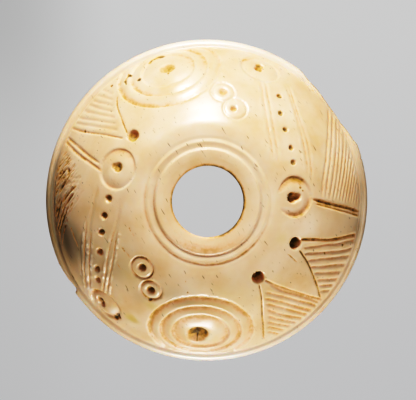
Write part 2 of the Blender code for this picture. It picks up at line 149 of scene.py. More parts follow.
@dataclass(frozen=True)
class TurnedBody:
    """The turned section of the whorl, in millimetres, as a closed loop.

    The wear is how far handling has rounded every corner. The mouth values shape the
    top of the bore. The sample and the steps say how close the points lie.
    """

    outer_radius: float = 18.0
    bore_radius: float = 3.95
    bore_foot_radius: float = 4.45
    bore_foot_chamfer: float = 0.3
    bore_top_chamfer: float = 0.75
    bore_top_drop: float = 0.13
    underside_line_radius: float = 13.2
    underside_line_width: float = 0.5
    underside_line_depth: float = 0.2
    rim_edge: float = 0.35
    rim_wall_top: float = 0.95
    quirk_width: float = 0.2
    quirk_depth: float = 0.02
    seat_radius: float = 9.4
    seat_flat: float = 7.2
    seat_dip: float = 0.02
    step_radii: tuple[float, float] = (6.85, 5.88)
    step_height: float = 0.2
    step_slope: float = 0.12
    lip_width: float = 0.18
    land_dip: float = 0.05
    wear: float = 0.05
    wear_reach: float = 4.0
    mouth_run: float = 0.1
    mouth_fall: float = 0.03
    mouth_edge: float = 0.05
    mouth_drop: float = 0.15
    sample: float = 0.02
    rim_steps: int = 12
    dome_steps: int = 260
    seat_steps: int = 10

    def dome_height(self, radius: float) -> float:
        """Height of the ball over a circle about the axis."""
        return DOME.centre[2] + math.sqrt(DOME.radius ** 2 - radius ** 2)

    def underside(self) -> list[tuple[float, float]]:
        """Radius and height along the underside, from the bore outwards."""
        half = self.underside_line_width / 2
        line = self.underside_line_radius
        return [
            (self.bore_foot_radius, self.bore_foot_chamfer),
            (self.bore_foot_radius + self.bore_foot_chamfer, 0.0),
            (line - half, 0.0),
            (line, self.underside_line_depth),
            (line + half, 0.0),
            (self.outer_radius - self.rim_edge, 0.0),
        ]

    def rim(self) -> list[tuple[float, float]]:
        """Radius and height up the rim band, with its fine turned lines."""
        inner = DOME.foot_radius + self.quirk_width
        top = DOME.foot_height
        points = [(self.outer_radius, self.rim_edge), (self.outer_radius, self.rim_wall_top)]
        for step in range(1, self.rim_steps + 1):
            angle = math.pi / 2 * step / self.rim_steps
            radius = self.outer_radius - (self.outer_radius - inner) * (1.0 - math.cos(angle))
            height = self.rim_wall_top + (top - self.rim_wall_top) * math.sin(angle)
            points.append((radius, height))
        points.append((DOME.foot_radius + self.quirk_width / 2, top - self.quirk_depth))
        return points

    def dome(self) -> list[tuple[float, float]]:
        """Radius and height up the dome, from its foot to the collar's seat."""
        first = math.asin(DOME.foot_radius / DOME.radius)
        last = math.asin(self.seat_radius / DOME.radius)
        angles = np.linspace(first, last, self.dome_steps)
        return [(DOME.radius * math.sin(a), DOME.centre[2] + DOME.radius * math.cos(a))
                for a in angles]

    def collar(self) -> list[tuple[float, float]]:
        """Radius and height over the seat, up both lipped steps, into the bore."""
        level = self.dome_height(self.seat_radius)
        slope = self.seat_radius / (level - DOME.centre[2])
        points = []
        run = (self.seat_radius - self.seat_flat) / self.seat_steps
        for step in range(self.seat_steps):
            level += run * slope * (1.0 - (step + 0.5) / self.seat_steps)
            points.append((self.seat_radius - run * (step + 1), level))
        outer = self.seat_flat
        dip = self.seat_dip
        for radius in self.step_radii:
            points.append(((outer + radius) / 2, level - dip))
            points.append((radius + self.step_slope / 2, level - dip))
            level += self.step_height
            points.append((radius - self.step_slope / 2, level))
            outer = radius - self.step_slope / 2 - self.lip_width
            points.append((outer, level))
            dip = self.land_dip
        chamfer = self.bore_radius + self.bore_top_chamfer
        land = level - self.land_dip
        mouth = land - self.bore_top_drop
        points += [
            (chamfer + self.mouth_run, land),
            (chamfer, land - self.mouth_fall),
            (self.bore_radius + self.mouth_edge, mouth),
            (self.bore_radius, mouth - self.mouth_drop),
        ]
        return points

    def loop(self) -> np.ndarray:
        """The whole section, sampled evenly and with worn corners.

        Returns:
            An array of radius and height, running from the bore's foot outwards
            under the whorl, up the rim, over the dome and down the bore.
        """
        corners = np.array(self.underside() + self.rim() + self.dome() + self.collar())
        closed = np.vstack([corners, corners[:1]])
        lengths = np.concatenate([[0.0], np.cumsum(np.linalg.norm(np.diff(closed, axis=0), axis=1))])
        count = int(lengths[-1] / self.sample)
        at = np.linspace(0.0, lengths[-1], count, endpoint=False)
        even = np.stack([np.interp(at, lengths, closed[:, i]) for i in (0, 1)], axis=1)
        reach = int(self.wear_reach * self.wear / self.sample)
        offsets = np.arange(-reach, reach + 1) * self.sample
        weights = np.exp(-0.5 * (offsets / self.wear) ** 2)
        weights /= weights.sum()
        smoothed = np.zeros_like(even)
        for shift, weight in zip(range(-reach, reach + 1), weights):
            smoothed += weight * np.roll(even, shift, axis=0)
        return smoothed


class Edge(Enum):
    """How a groove's wall meets the polished surface, as the power of its shape."""

    CRISP = 1.3
    WORN = 2.0


class Cut(Protocol):
    """Anything cut into the dome."""

    def reach(self) -> tuple[np.ndarray, float]:
        """Middle direction and how far the cut reaches from it."""

    def cut(self, directions: np.ndarray, uneven: np.ndarray) -> tuple[np.ndarray, np.ndarray]:
        """Depth and stain of the cut at directions."""


@dataclass(frozen=True)
class RingCut:
    """A round groove about a place, sloping to a floor near its outer wall.

    The lean moves the floor outwards. A table gives the share of the stain by the angle
    about the middle, from the side of the pole; it is partly stain and partly painted shade
    on the side turned from the light. The sway and the unevenness are what an unsteady
    hand does to the groove's place and depth.
    """

    azimuth: float
    arc: float
    radius: float
    width: float
    depth: float
    stain: float
    clock: Table
    lean: float
    sway: ClassVar[float] = 0.06
    unevenness: ClassVar[float] = 0.12
    inner_power: ClassVar[float] = 1.5
    outer_bulge: ClassVar[float] = 0.6
    stain_reaches: ClassVar[tuple[float, float]] = (0.75, 0.5)

    def around(self, directions: np.ndarray) -> np.ndarray:
        """Share of the stain and painted shade at directions, by the angle about the middle."""
        middle = DOME.direction(self.azimuth, self.arc)
        turn = math.radians(self.azimuth)
        right = np.array([-math.sin(turn), math.cos(turn), 0.0])
        upward = np.cross(middle, right)
        hours = np.degrees(np.arctan2(directions @ right, directions @ upward)) % 360.0
        return read_table((*self.clock, (360.0, self.clock[0][1])), hours)

    def reach(self) -> tuple[np.ndarray, float]:
        """Middle direction and how far the cut reaches from it."""
        return DOME.direction(self.azimuth, self.arc), self.radius + self.width

    def cut(self, directions: np.ndarray, uneven: np.ndarray) -> tuple[np.ndarray, np.ndarray]:
        """Depth and stain of the groove at directions.

        Args:
            directions: unit vectors from the dome's centre.
            uneven: a noise value for each, for the unsteady hand.

        Returns:
            Depth in millimetres and stain from 0 to 1, for each direction.
        """
        middle = DOME.direction(self.azimuth, self.arc)
        away = DOME.radius * np.arccos(np.clip(directions @ middle, -1.0, 1.0))
        across = (away - self.radius) / (self.width / 2) + self.sway * uneven
        floor = 2 * self.lean
        inner = np.clip((across + 1.0) / (1.0 + floor), 0.0, 1.0) ** self.inner_power
        outer = np.clip((1.0 - across) / (1.0 - floor), 0.0, 1.0)
        outer = outer * (1.0 + self.outer_bulge - self.outer_bulge * outer)
        shape = np.where(across < floor, inner, outer)
        reach = np.where(across < floor, *self.stain_reaches)
        line = np.exp(-((across - floor) / reach) ** 2) * (shape > 0.0)
        depth = self.depth * shape * (1.0 + self.unevenness * uneven)
        return depth, self.stain * line * self.around(directions)


@dataclass(frozen=True)
class Drilling:
    """A round hole or pit; steepness runs from a cone, 0, to a straight bore, 1.

    The values from the sway on are shares of the hole's radius: where the cone and the
    wall end, how round and how sharp they are, and where the stain begins and is full.
    The steepest is the largest exponent that the wall's formula is given.
    """

    azimuth: float
    arc: float
    diameter: float
    depth: float
    stain: float
    steepness: float
    reach_share: ClassVar[float] = 0.8
    sway: ClassVar[float] = 0.03
    lip_round: ClassVar[float] = 0.006
    cone_end: ClassVar[float] = 1.25
    wall_end: ClassVar[float] = 0.95
    wall_sharpness: ClassVar[float] = 0.035
    steepest: ClassVar[float] = 30.0
    floor_level: ClassVar[float] = 0.85
    floor_dish: ClassVar[float] = 0.15
    stain_begins: ClassVar[float] = 1.12
    stain_full: ClassVar[float] = 0.7

    def reach(self) -> tuple[np.ndarray, float]:
        """Middle direction and how far the cut reaches from it."""
        return DOME.direction(self.azimuth, self.arc), self.diameter * self.reach_share

    def cut(self, directions: np.ndarray, uneven: np.ndarray) -> tuple[np.ndarray, np.ndarray]:
        """Depth and stain of the drilling at directions, as for a ring cut."""
        middle = DOME.direction(self.azimuth, self.arc)
        away = DOME.radius * np.arccos(np.clip(directions @ middle, -1.0, 1.0))
        out = away / (self.diameter / 2) + self.sway * uneven
        cone = 0.5 * ((1.0 - out) + np.sqrt((1.0 - out) ** 2 + self.lip_round))
        cone = np.where(out < self.cone_end, cone, 0.0)
        wall = np.clip((out - self.wall_end) / self.wall_sharpness, -self.steepest, self.steepest)
        bore = 1.0 / (1.0 + np.exp(wall))
        straight = self.steepness * bore * (self.floor_level + self.floor_dish * cone)
        shape = (1.0 - self.steepness) * cone + straight
        stain = self.stain * smooth_step(-out, -self.stain_begins, -self.stain_full)
        return self.depth * shape, stain


@dataclass(frozen=True)
class Stroke:
    """A graver's stroke through a few places, with sharp ends.

    A burr is the height of the lips that the graver raised beside the stroke. From the
    thinnest on, the values are shares of the stroke's half width, and the burr's reach
    is a share of its width.
    """

    places: Line
    width: float
    depth: float
    stain: float
    edge: Edge
    start_taper: float
    end_taper: float
    burr: float = 0.0
    line_points: ClassVar[int] = 7
    line_step: ClassVar[float] = 0.7
    unevenness: ClassVar[float] = 0.22
    thinnest: ClassVar[float] = 0.55
    swell: ClassVar[float] = 0.45
    stain_reach: ClassVar[float] = 0.7
    burr_place: ClassVar[float] = 2.15
    burr_width: ClassVar[float] = 0.85
    burr_reach: ClassVar[float] = 2.2

    def line(self) -> np.ndarray:
        """Points along the stroke on the dome, close enough for its curve."""
        chain = np.array([DOME.direction(*place) for place in self.places]) * DOME.radius
        if len(chain) == 2:
            share = np.linspace(0.0, 1.0, self.line_points)[:, None]
            points = chain[0] * (1.0 - share) + chain[1] * share
        else:
            lengths = np.linalg.norm(np.diff(chain, axis=0), axis=1)
            knots = np.concatenate([[0.0], np.cumsum(lengths)])
            steps = max(self.line_points, int(knots[-1] / self.line_step))
            points = natural_curve(knots, chain, np.linspace(0.0, knots[-1], steps))
        return unit(points) * DOME.radius

    def reach(self) -> tuple[np.ndarray, float]:
        """Middle direction and how far the cut reaches from it."""
        points = self.line()
        middle = unit(points.mean(axis=0))
        far = np.linalg.norm(points - middle * DOME.radius, axis=1).max()
        return middle, far + self.width * (self.burr_reach if self.burr else 1.0)

    def cut(self, directions: np.ndarray, uneven: np.ndarray) -> tuple[np.ndarray, np.ndarray]:
        """Depth and stain of the stroke at directions, as for a ring cut."""
        points = directions * DOME.radius
        line = self.line()
        best = np.full(len(points), np.inf)
        along = np.zeros(len(points))
        walked = 0.0
        for start, end in zip(line, line[1:]):
            run = end - start
            length = np.linalg.norm(run)
            share = np.clip((points - start) @ run / length ** 2, 0.0, 1.0)
            gap = np.linalg.norm(points - start - share[:, None] * run, axis=1)
            nearer = gap < best
            best = np.where(nearer, gap, best)
            along = np.where(nearer, walked + share * length, along)
            walked += length
        ends = np.clip(along / self.start_taper, 0.0, 1.0)
        ends = ends * np.clip((walked - along) / self.end_taper, 0.0, 1.0)
        strength = np.sqrt(ends) * (1.0 + self.unevenness * uneven)
        half = self.width / 2 * (self.thinnest + self.swell * strength)
        across = np.clip(best / half, 0.0, 1.0)
        shape = 1.0 - across ** self.edge.value
        stain = self.stain * strength * np.exp(-(best / half / self.stain_reach) ** 2) * (across < 1.0)
        beside = (best / half - self.burr_place) / self.burr_width
        raised = self.burr * strength * np.exp(-beside ** 2)
        return np.where(across < 1.0, self.depth * strength * shape, -raised), stain


def natural_curve(knots: np.ndarray, values: np.ndarray, at: np.ndarray) -> np.ndarray:
    """Smooth curve through values at knots, by cubic pieces with shared slopes.

    Args:
        knots: increasing parameters, one for each value.
        values: points that the curve passes through.
        at: parameters to read it at.

    Returns:
        One point for each parameter.
    """
    slopes = np.gradient(values, knots, axis=0)
    piece = np.clip(np.searchsorted(knots, at, side="right") - 1, 0, len(knots) - 2)
    span = (knots[piece + 1] - knots[piece])[:, None]
    t = (at - knots[piece])[:, None] / span
    return (
        (2 * t ** 3 - 3 * t ** 2 + 1) * values[piece]
        + (t ** 3 - 2 * t ** 2 + t) * span * slopes[piece]
        + (3 * t ** 2 - 2 * t ** 3) * values[piece + 1]
        + (t ** 3 - t ** 2) * span * slopes[piece + 1]
    )


@dataclass(frozen=True)
class LargeMotif:
    """Three ring grooves about a wide pit, which a second pit widens."""

    azimuth: float
    arc: float
    pit_place: Place
    pit_diameter: float
    pit_stain: float
    ring_stains: tuple[float, float, float]
    clocks: tuple[Table, Table, Table]
    ring_radii: tuple[float, float, float]
    widths: tuple[float, float, float]
    leans: tuple[float, float, float]
    depth: float
    second_pit: tuple[Place, float, float]
    pit_depth: float = 1.05
    second_depth: float = 0.8
    steepness: float = 0.15

    def cuts(self) -> list[Cut]:
        """Grooves and both pits."""
        rings = zip(self.ring_radii, self.widths, self.ring_stains, self.clocks, self.leans)
        found: list[Cut] = [
            RingCut(self.azimuth, self.arc, radius, width, self.depth, stain, clock, lean)
            for radius, width, stain, clock, lean in rings
        ]
        place, diameter, stain = self.second_pit
        deep = self.pit_depth * self.second_depth
        return [
            *found,
            Drilling(*self.pit_place, self.pit_diameter, self.pit_depth, self.pit_stain, self.steepness),
            Drilling(*place, diameter, deep, stain, self.steepness),
        ]


@dataclass(frozen=True)
class SmallMotif:
    """One ring groove about a drilled pit; also used for the middle size."""

    azimuth: float
    arc: float
    radius: float
    width: float
    depth: float
    stain: float
    pit_diameter: float
    pit_depth: float
    pit_stain: float
    clock: Table
    pit_place: Place
    steepness: float
    lean: float = 0.26
    second_pit: tuple[Place, float, float] | None = None
    second_depth: float = 0.7

    def cuts(self) -> list[Cut]:
        """Groove and pit of the motif, and a second pit that widens the first."""
        found: list[Cut] = [
            RingCut(self.azimuth, self.arc, self.radius, self.width, self.depth, self.stain, self.clock,
                    self.lean),
            Drilling(*self.pit_place, self.pit_diameter, self.pit_depth, self.pit_stain, self.steepness),
        ]
        if self.second_pit is not None:
            place, diameter, stain = self.second_pit
            deep = self.pit_depth * self.second_depth
            found.append(Drilling(*place, diameter, deep, stain, self.steepness))
        return found


@dataclass(frozen=True)
class DottedBand:
    """A row of drilled dots between lines."""

    dots: Line
    lines: tuple[Line, ...]
    dot_diameter: float
    dot_depth: float
    dot_stain: float
    line_width: float
    line_depth: float
    line_stain: float
    burr: float
    dot_steepness: float = 0.35
    taper: float = 1.5

    def cuts(self) -> list[Cut]:
        """Dots and lines of the band."""
        found: list[Cut] = [
            Drilling(*place, self.dot_diameter, self.dot_depth, self.dot_stain, self.dot_steepness)
            for place in self.dots
        ]
        found += [
            Stroke(line, self.line_width, self.line_depth, self.line_stain, Edge.CRISP, self.taper,
                   self.taper, self.burr)
            for line in self.lines
        ]
        return found


@dataclass(frozen=True)
class HatchedTriangle:
    """Two edge grooves from a drilled hole to the rim, filled with strokes.

    The left edge is shallower and darker than the right one, by these shares.
    """

    hole: Place
    hole_stain: float
    left: Line
    right: Line
    hatch: tuple[Line, ...]
    left_width: float = 0.28
    right_width: float = 0.52
    edge_depth: float = 0.19
    hatch_width: float = 0.5
    hatch_depth: float = 0.15
    stain: float = 0.75
    hatch_share: float = 0.75
    hole_diameter: float = 1.45
    hole_depth: float = 1.7
    hole_steepness: float = 0.5
    left_depth_share: float = 0.5
    left_stain_share: float = 2.3
    right_stain_share: float = 1.3
    left_tapers: tuple[float, float] = (0.3, 0.9)
    right_tapers: tuple[float, float] = (0.3, 0.6)
    hatch_tapers: tuple[float, float] = (0.5, 0.5)

    def cuts(self) -> list[Cut]:
        """Edges, strokes and hole of the triangle."""
        shallow = self.edge_depth * self.left_depth_share
        return [
            Stroke(self.left, self.left_width, shallow, self.stain * self.left_stain_share, Edge.CRISP,
                   *self.left_tapers),
            Stroke(self.right, self.right_width, self.edge_depth, self.stain * self.right_stain_share,
                   Edge.CRISP, *self.right_tapers),
            *(Stroke(line, self.hatch_width, self.hatch_depth, self.stain * self.hatch_share,
                     Edge.CRISP, *self.hatch_tapers) for line in self.hatch),
            Drilling(*self.hole, self.hole_diameter, self.hole_depth, self.hole_stain,
                     self.hole_steepness),
        ]


@dataclass(frozen=True)
class StrokeGroup:
    """Loose grooves and scratches that share one width and depth."""

    lines: tuple[Line, ...]
    width: float
    depth: float
    stain: float
    edge: Edge = Edge.CRISP
    taper: float = 0.8
    burr: float = 0.0

    def cuts(self) -> list[Cut]:
        """One stroke for each line."""
        return [
            Stroke(line, self.width, self.depth, self.stain, self.edge, self.taper, self.taper, self.burr)
            for line in self.lines
        ]


@dataclass(frozen=True)
class PitGroup:
    """Small holes in the surface, each a place, a diameter and a depth."""

    pits: tuple[tuple[float, float, float, float], ...]
    stain: float
    steepness: float = 0.2

    def cuts(self) -> list[Cut]:
        """One pit for each entry."""
        return [
            Drilling(azimuth, arc, diameter, depth, self.stain, self.steepness)
            for azimuth, arc, diameter, depth in self.pits
        ]


@dataclass(frozen=True)
class ScuffedField:
    """The dark field at the left: many short rough strokes from a fixed seed.

    Strokes start between the azimuths and arcs given, below the border. They are
    faint near it. A pair gives the least and the most of what is drawn at random, and
    the turn and the fall are how far a stroke of length one runs round and down.
    """

    seed: int = 41
    tries: int = 620
    azimuths: tuple[float, float] = (160.0, 197.0)
    arcs: tuple[float, float] = (15.0, 21.9)
    border: Table = ((160, 19.6), (165, 17.0), (175, 15.2), (183, 17.6), (197, 21.2))
    strength: Table = ((15.0, 0.35), (18.5, 1.0))
    lengths: tuple[float, float] = (0.4, 1.9)
    slants: tuple[float, float] = (0.8, 1.1)
    turn: float = 2.7
    fall: float = 0.75
    widths: tuple[float, float] = (0.1, 0.19)
    depths: tuple[float, float] = (0.03, 0.09)
    dirty_below: tuple[float, float] = (16.0, 20.0)
    dirty_stains: tuple[float, float] = (0.6, 1.3)
    clean_stains: tuple[float, float] = (0.0, 0.25)
    burrs: tuple[float, float] = (0.0, 0.04)
    taper: float = 0.3

    def cuts(self) -> list[Cut]:
        """Every stroke of the field, drawn in one fixed order."""
        rng = np.random.default_rng(self.seed)
        strokes: list[Cut] = []
        for number in range(self.tries):
            azimuth, arc = rng.uniform(*self.azimuths), rng.uniform(*self.arcs)
            if arc < read_table(self.border, azimuth):
                continue
            length, slant = rng.uniform(*self.lengths), rng.uniform(*self.slants)
            end = (azimuth + length * self.turn, arc + length * self.fall * slant)
            faint = float(read_table(self.strength, arc))
            width, depth = rng.uniform(*self.widths), rng.uniform(*self.depths) * faint
            dirty = arc > rng.uniform(*self.dirty_below) and number % 2 == 0
            stain = rng.uniform(*self.dirty_stains) * faint if dirty else rng.uniform(*self.clean_stains)
            burr = rng.uniform(*self.burrs) * faint
            strokes.append(Stroke(((azimuth, arc), end), width, depth, stain, Edge.CRISP, self.taper,
                                  self.taper, burr))
        return strokes


LOWER_MOTIF = LargeMotif(
    -93.1, 17.15, (-94.2, 17.15), 2.4, 1.05, (0.44, 0.55, 0.64),
    (((0, 1.3), (60, 0.6), (100, 0.8), (130, 0.8), (180, 1.0), (225, 0.9), (270, 0.8)),
     ((0, 1.0), (60, 0.6), (100, 0.9), (130, 1.1), (180, 0.3), (225, 1.0), (270, 0.8)),
     ((0, 1.0), (60, 0.9), (95, 0.7), (150, 0.2), (180, 0.0), (225, 0.3), (270, 1.0))),
    ring_radii=(2.3, 4.05, 5.45), widths=(2.0, 1.25, 1.25), leans=(0.4, 0.36, 0.36), depth=0.33,
    second_pit=((-94.7, 18.05), 2.1, 0.5),
)
UPPER_MOTIF = LargeMotif(
    106.7, 18.4, (106.9, 18.4), 2.0, 0.36, (0.4, 0.46, 0.52),
    (((0, 0.1), (60, 0.3), (100, 0.0), (180, 0.2), (225, 0.7), (270, 1.0), (300, 0.1)),
     ((0, 0.2), (55, 1.0), (90, 0.8), (110, 0.2), (180, 0.0), (225, 1.0), (270, 0.9), (300, 0.1)),
     ((0, 0.6), (25, 0.9), (60, 1.1), (100, 0.8), (120, 0.2), (180, 0.0), (250, 0.6), (280, 0.4),
      (300, 0.0))),
    ring_radii=(2.3, 3.9, 5.45), widths=(1.6, 1.25, 1.25), leans=(0.4, 0.36, 0.36), depth=0.22,
    pit_depth=0.3, second_pit=((106.0, 18.35), 1.6, 0.72),
)
MIDDLE_MOTIFS = (
    SmallMotif(159.6, 11.5, 1.7, 1.44, 0.15, 0.28, 1.2, 0.3, 0.8,
               ((0, 0.3), (60, 0.5), (90, 1.0), (120, 0.6), (180, 0.3), (215, 1.0), (270, 1.2), (320, 0.9)),
               (158.5, 11.47), 0.3, 0.33, ((158.7, 12.0), 0.75, 0.8)),
    SmallMotif(3.8, 10.15, 1.66, 1.46, 0.23, 0.55, 1.25, 1.1, 1.0,
               ((0, 0.2), (50, 0.8), (90, 1.3), (125, 1.4), (140, 0.4), (180, 0.25), (215, 1.0), (270, 1.0),
                (320, 0.4)),
               (3.7, 9.85), 0.6, 0.33, ((4.1, 10.5), 0.9, 0.85)),
    SmallMotif(68.2, 19.2, 1.75, 1.1, 0.13, 0.4, 1.0, 0.6, 0.85,
               ((0, 0.1), (75, 0.3), (110, 1.1), (140, 0.6), (160, 0.1), (250, 0.2), (300, 0.25)),
               (68.8, 19.0), 0.5, 0.4, ((68.8, 19.7), 0.95, 0.8)),
    SmallMotif(-134.8, 20.0, 1.6, 1.2, 0.28, 0.55, 1.15, 0.9, 1.0,
               ((0, 0.3), (60, 0.4), (100, 0.8), (180, 0.1), (250, 0.4), (285, 1.0), (320, 0.7), (345, 0.3)),
               (-137.0, 19.95), 0.5, 0.3, ((-135.6, 20.3), 0.9, 0.5)),
)
SMALL_MOTIFS = (
    SmallMotif(-135.5, 10.95, 1.21, 0.5, 0.25, 0.8, 1.0, 0.6, 0.9,
               ((0, 0.6), (45, 0.6), (80, 1.1), (120, 0.5), (180, 0.8), (225, 0.3), (270, 1.0), (320, 1.1)),
               (-135.6, 10.9), 0.45),
    SmallMotif(-123.0, 12.59, 1.12, 0.5, 0.25, 0.8, 1.05, 0.6, 0.8,
               ((0, 0.35), (45, 0.2), (80, 0.9), (120, 0.7), (150, 1.2), (180, 1.1), (225, 0.4), (280, 0.8),
                (310, 1.0)),
               (-123.3, 12.6), 0.45),
    SmallMotif(82.4, 13.58, 1.2, 0.5, 0.1, 0.24, 1.2, 0.26, 0.4,
               ((0, 0.2), (90, 0.2), (180, 0.9), (270, 1.0), (320, 0.4)), (82.3, 13.62), 0.1),
    SmallMotif(74.0, 11.62, 1.24, 0.5, 0.11, 0.26, 0.8, 0.36, 0.5,
               ((0, 0.6), (90, 0.4), (180, 1.1), (230, 1.1), (270, 0.6)), (75.0, 11.56), 0.2),
)
LEFT_BAND = DottedBand(
    ((177.7, 11.86), (-172.9, 12.58), (-164.5, 13.47), (-155.4, 14.73), (-149.0, 16.55),
     (-144.8, 17.53)),
    (((-166.7, 14.75), (-159.8, 15.8), (-152.6, 17.27), (-146.3, 18.92), (-142.5, 20.38)),
     ((-170.9, 15.26), (-164.8, 16.02), (-158.7, 17.03), (-153.2, 18.2), (-147.0, 19.88),
      (-143.7, 20.99)),
     ((-165.8, 11.26), (-157.2, 12.7), (-150.1, 14.26), (-143.5, 16.21), (-138.4, 18.61)),
     ((-163.1, 11.08), (-156.7, 12.01), (-148.0, 13.7), (-142.7, 15.55), (-136.7, 18.17))),
    0.9, 0.48, 0.74, 0.3, 0.1, 0.55, 0.085,
)
RIGHT_BAND = DottedBand(
    ((25.4, 11.11), (33.5, 11.85), (43.4, 12.82), (50.8, 14.12), (55.9, 16.24)),
    (((10.9, 12.69), (19.4, 13.23), (27.3, 13.93), (36.6, 14.87), (44.1, 15.88), (51.3, 17.61),
      (55.7, 19.11)),
     ((15.2, 12.42), (23.5, 12.97), (29.7, 13.5), (36.4, 14.27), (43.4, 15.32), (49.5, 16.64),
      (56.0, 18.62)),
     ((28.4, 9.25), (38.2, 10.2), (45.4, 11.19), (51.9, 12.49), (56.9, 13.91), (61.1, 15.47),
      (64.1, 17.23)),
     ((30.5, 8.69), (41.2, 9.8), (48.9, 10.9), (54.8, 12.19), (59.6, 13.64), (63.1, 15.2), (66.1, 16.88))),
    0.68, 0.32, 0.95, 0.42, 0.055, 0.34, 0.02,
)
TRIANGLES = (
    HatchedTriangle(
        (-24.9, 11.43), 1.4,
        ((-27.5, 12.3), (-31.3, 14.44), (-34.8, 16.3), (-38.1, 18.7), (-40.2, 20.38), (-40.7, 21.3)),
        ((-21.7, 11.92), (-19.2, 13.86), (-17.5, 16.1), (-15.6, 18.15), (-13.8, 20.21), (-13.0, 22.1)),
        (((-25.5, 12.8), (-22.1, 14.62), (-19.6, 16.26), (-18.2, 18.09), (-16.2, 19.94), (-15.0, 22.1)),
         ((-28.1, 13.21), (-25.1, 15.0), (-23.4, 16.21), (-21.4, 18.23), (-19.6, 20.26), (-17.9, 22.09)),
         ((-30.4, 14.23), (-27.6, 15.7), (-25.6, 17.0), (-24.0, 18.51), (-22.4, 20.22), (-21.1, 22.1)),
         ((-32.4, 15.15), (-30.0, 16.62), (-27.9, 18.2), (-26.0, 20.0), (-24.7, 22.0)),
         ((-33.8, 16.28), (-31.7, 17.84), (-29.9, 19.42), (-27.7, 21.8)),
         ((-35.5, 17.62), (-33.6, 19.08), (-32.2, 20.45), (-30.6, 22.1)),
         ((-37.2, 18.57), (-35.6, 19.93), (-33.7, 21.68)),
         ((-38.8, 19.63), (-37.3, 20.78), (-35.9, 22.1))),
        stain=0.62, hatch_share=0.62,
    ),
    HatchedTriangle(
        (-56.1, 10.54), 1.0,
        ((-57.9, 11.31), (-60.6, 13.24), (-62.8, 14.68), (-64.4, 16.02), (-65.5, 17.46), (-66.6, 18.89),
         (-67.8, 21.14)),
        ((-53.7, 11.3), (-50.3, 13.13), (-46.9, 15.09), (-44.5, 17.05), (-42.9, 18.71), (-41.6, 20.26),
         (-40.5, 21.71)),
        (((-52.8, 12.31), (-49.3, 14.54), (-46.7, 16.09), (-44.6, 17.85), (-43.3, 19.7), (-42.4, 21.63)),
         ((-57.4, 12.81), (-53.7, 14.2), (-50.8, 15.42), (-48.5, 16.86), (-46.4, 18.51), (-44.7, 20.15),
          (-43.9, 21.78)),
         ((-59.4, 13.62), (-56.3, 14.6), (-53.6, 15.7), (-51.3, 17.12), (-49.3, 18.65), (-47.6, 20.28),
          (-46.4, 21.81)),
         ((-60.3, 14.44), (-57.1, 15.61), (-54.6, 16.8), (-52.4, 18.31), (-50.4, 19.83), (-48.7, 21.76)),
         ((-60.9, 15.45), (-58.8, 16.62), (-56.5, 17.9), (-54.3, 19.2), (-52.3, 20.51), (-50.9, 21.82)),
         ((-62.2, 16.47), (-59.9, 17.73), (-57.5, 19.01), (-55.5, 20.2), (-53.7, 21.6)),
         ((-63.4, 17.5), (-60.8, 18.85), (-58.3, 20.12), (-56.3, 21.5)),
         ((-64.6, 18.43), (-61.7, 19.86), (-59.0, 21.52)),
         ((-65.3, 19.55), (-63.2, 20.7), (-61.6, 21.76))),
        left_width=0.26, right_width=0.42, hatch_width=0.55, stain=0.5, hatch_share=1.0,
    ),
    HatchedTriangle(
        (138.3, 12.0), 0.75,
        ((139.5, 12.7), (137.3, 14.01), (135.4, 15.23), (133.7, 16.65), (132.3, 17.48), (130.2, 18.33)),
        ((142.9, 12.81), (145.7, 14.54), (147.4, 15.87), (148.9, 17.11), (150.3, 18.55), (151.2, 19.98),
         (151.9, 22.1)),
        (((141.3, 14.1), (143.3, 15.41), (145.3, 16.74), (146.7, 18.16), (148.3, 19.7), (149.6, 21.73)),
         ((139.4, 15.0), (141.6, 16.2), (143.4, 17.62), (145.1, 19.04), (146.5, 20.66), (147.3, 21.97)),
         ((137.7, 15.81), (140.0, 17.3), (141.8, 18.9), (143.3, 20.61), (143.8, 21.92)),
         ((136.2, 16.62), (138.1, 17.9), (139.6, 19.4), (141.0, 21.6)),
         ((134.8, 17.34), (136.0, 18.62), (137.5, 19.81), (138.7, 21.6)),
         ((133.1, 18.27), (134.6, 19.84), (136.4, 21.82)),
         ((131.5, 19.1), (132.4, 20.48), (133.6, 21.96))),
        left_width=0.28, right_width=0.34, edge_depth=0.14, hatch_width=0.5, hatch_depth=0.08, stain=0.4,
        hatch_share=0.5, hole_diameter=1.4, hole_depth=0.8,
    ),
)
SPOKES = StrokeGroup(
    (((160.2, 14.09), (158.7, 16.44), (157.0, 18.88), (155.8, 21.93)),
     ((163.8, 13.36), (161.6, 15.58), (160.4, 17.53), (158.6, 19.95), (157.2, 22.1))),
    0.46, 0.12, 0.55,
)
LOWER_SPOKE = StrokeGroup(
    (((-0.7, 12.99), (-2.1, 14.76), (-3.3, 16.43), (-4.3, 18.19), (-5.0, 19.83), (-5.9, 22.08)),),
    0.42, 0.17, 0.66,
)
DEEP_SPOKE = StrokeGroup(
    (((1.8, 12.5), (-0.1, 14.28), (-1.4, 15.94), (-2.4, 17.9), (-3.2, 19.54), (-4.3, 21.9)),),
    0.58, 0.25, 0.88, taper=1.2,
)
SIDE_STROKES = StrokeGroup(
    (((-178.3, 18.37), (-174.8, 19.17), (-170.9, 20.27), (-166.2, 21.48)),
     ((-179.1, 18.96), (-175.6, 19.75), (-172.0, 20.73), (-168.3, 21.85)),
     ((178.7, 19.7), (-177.8, 20.37), (-174.5, 21.07), (-172.0, 21.73)),
     ((176.1, 17.2), (179.1, 18.2), (-178.0, 19.02)),
     ((173.0, 17.13), (176.9, 18.4), (-179.5, 19.61)),
     ((168.0, 18.43), (173.7, 19.62), (177.3, 20.6)),
     ((166.6, 19.47), (171.1, 20.76), (173.3, 21.53))),
    0.3, 0.17, 1.35, burr=0.05,
)
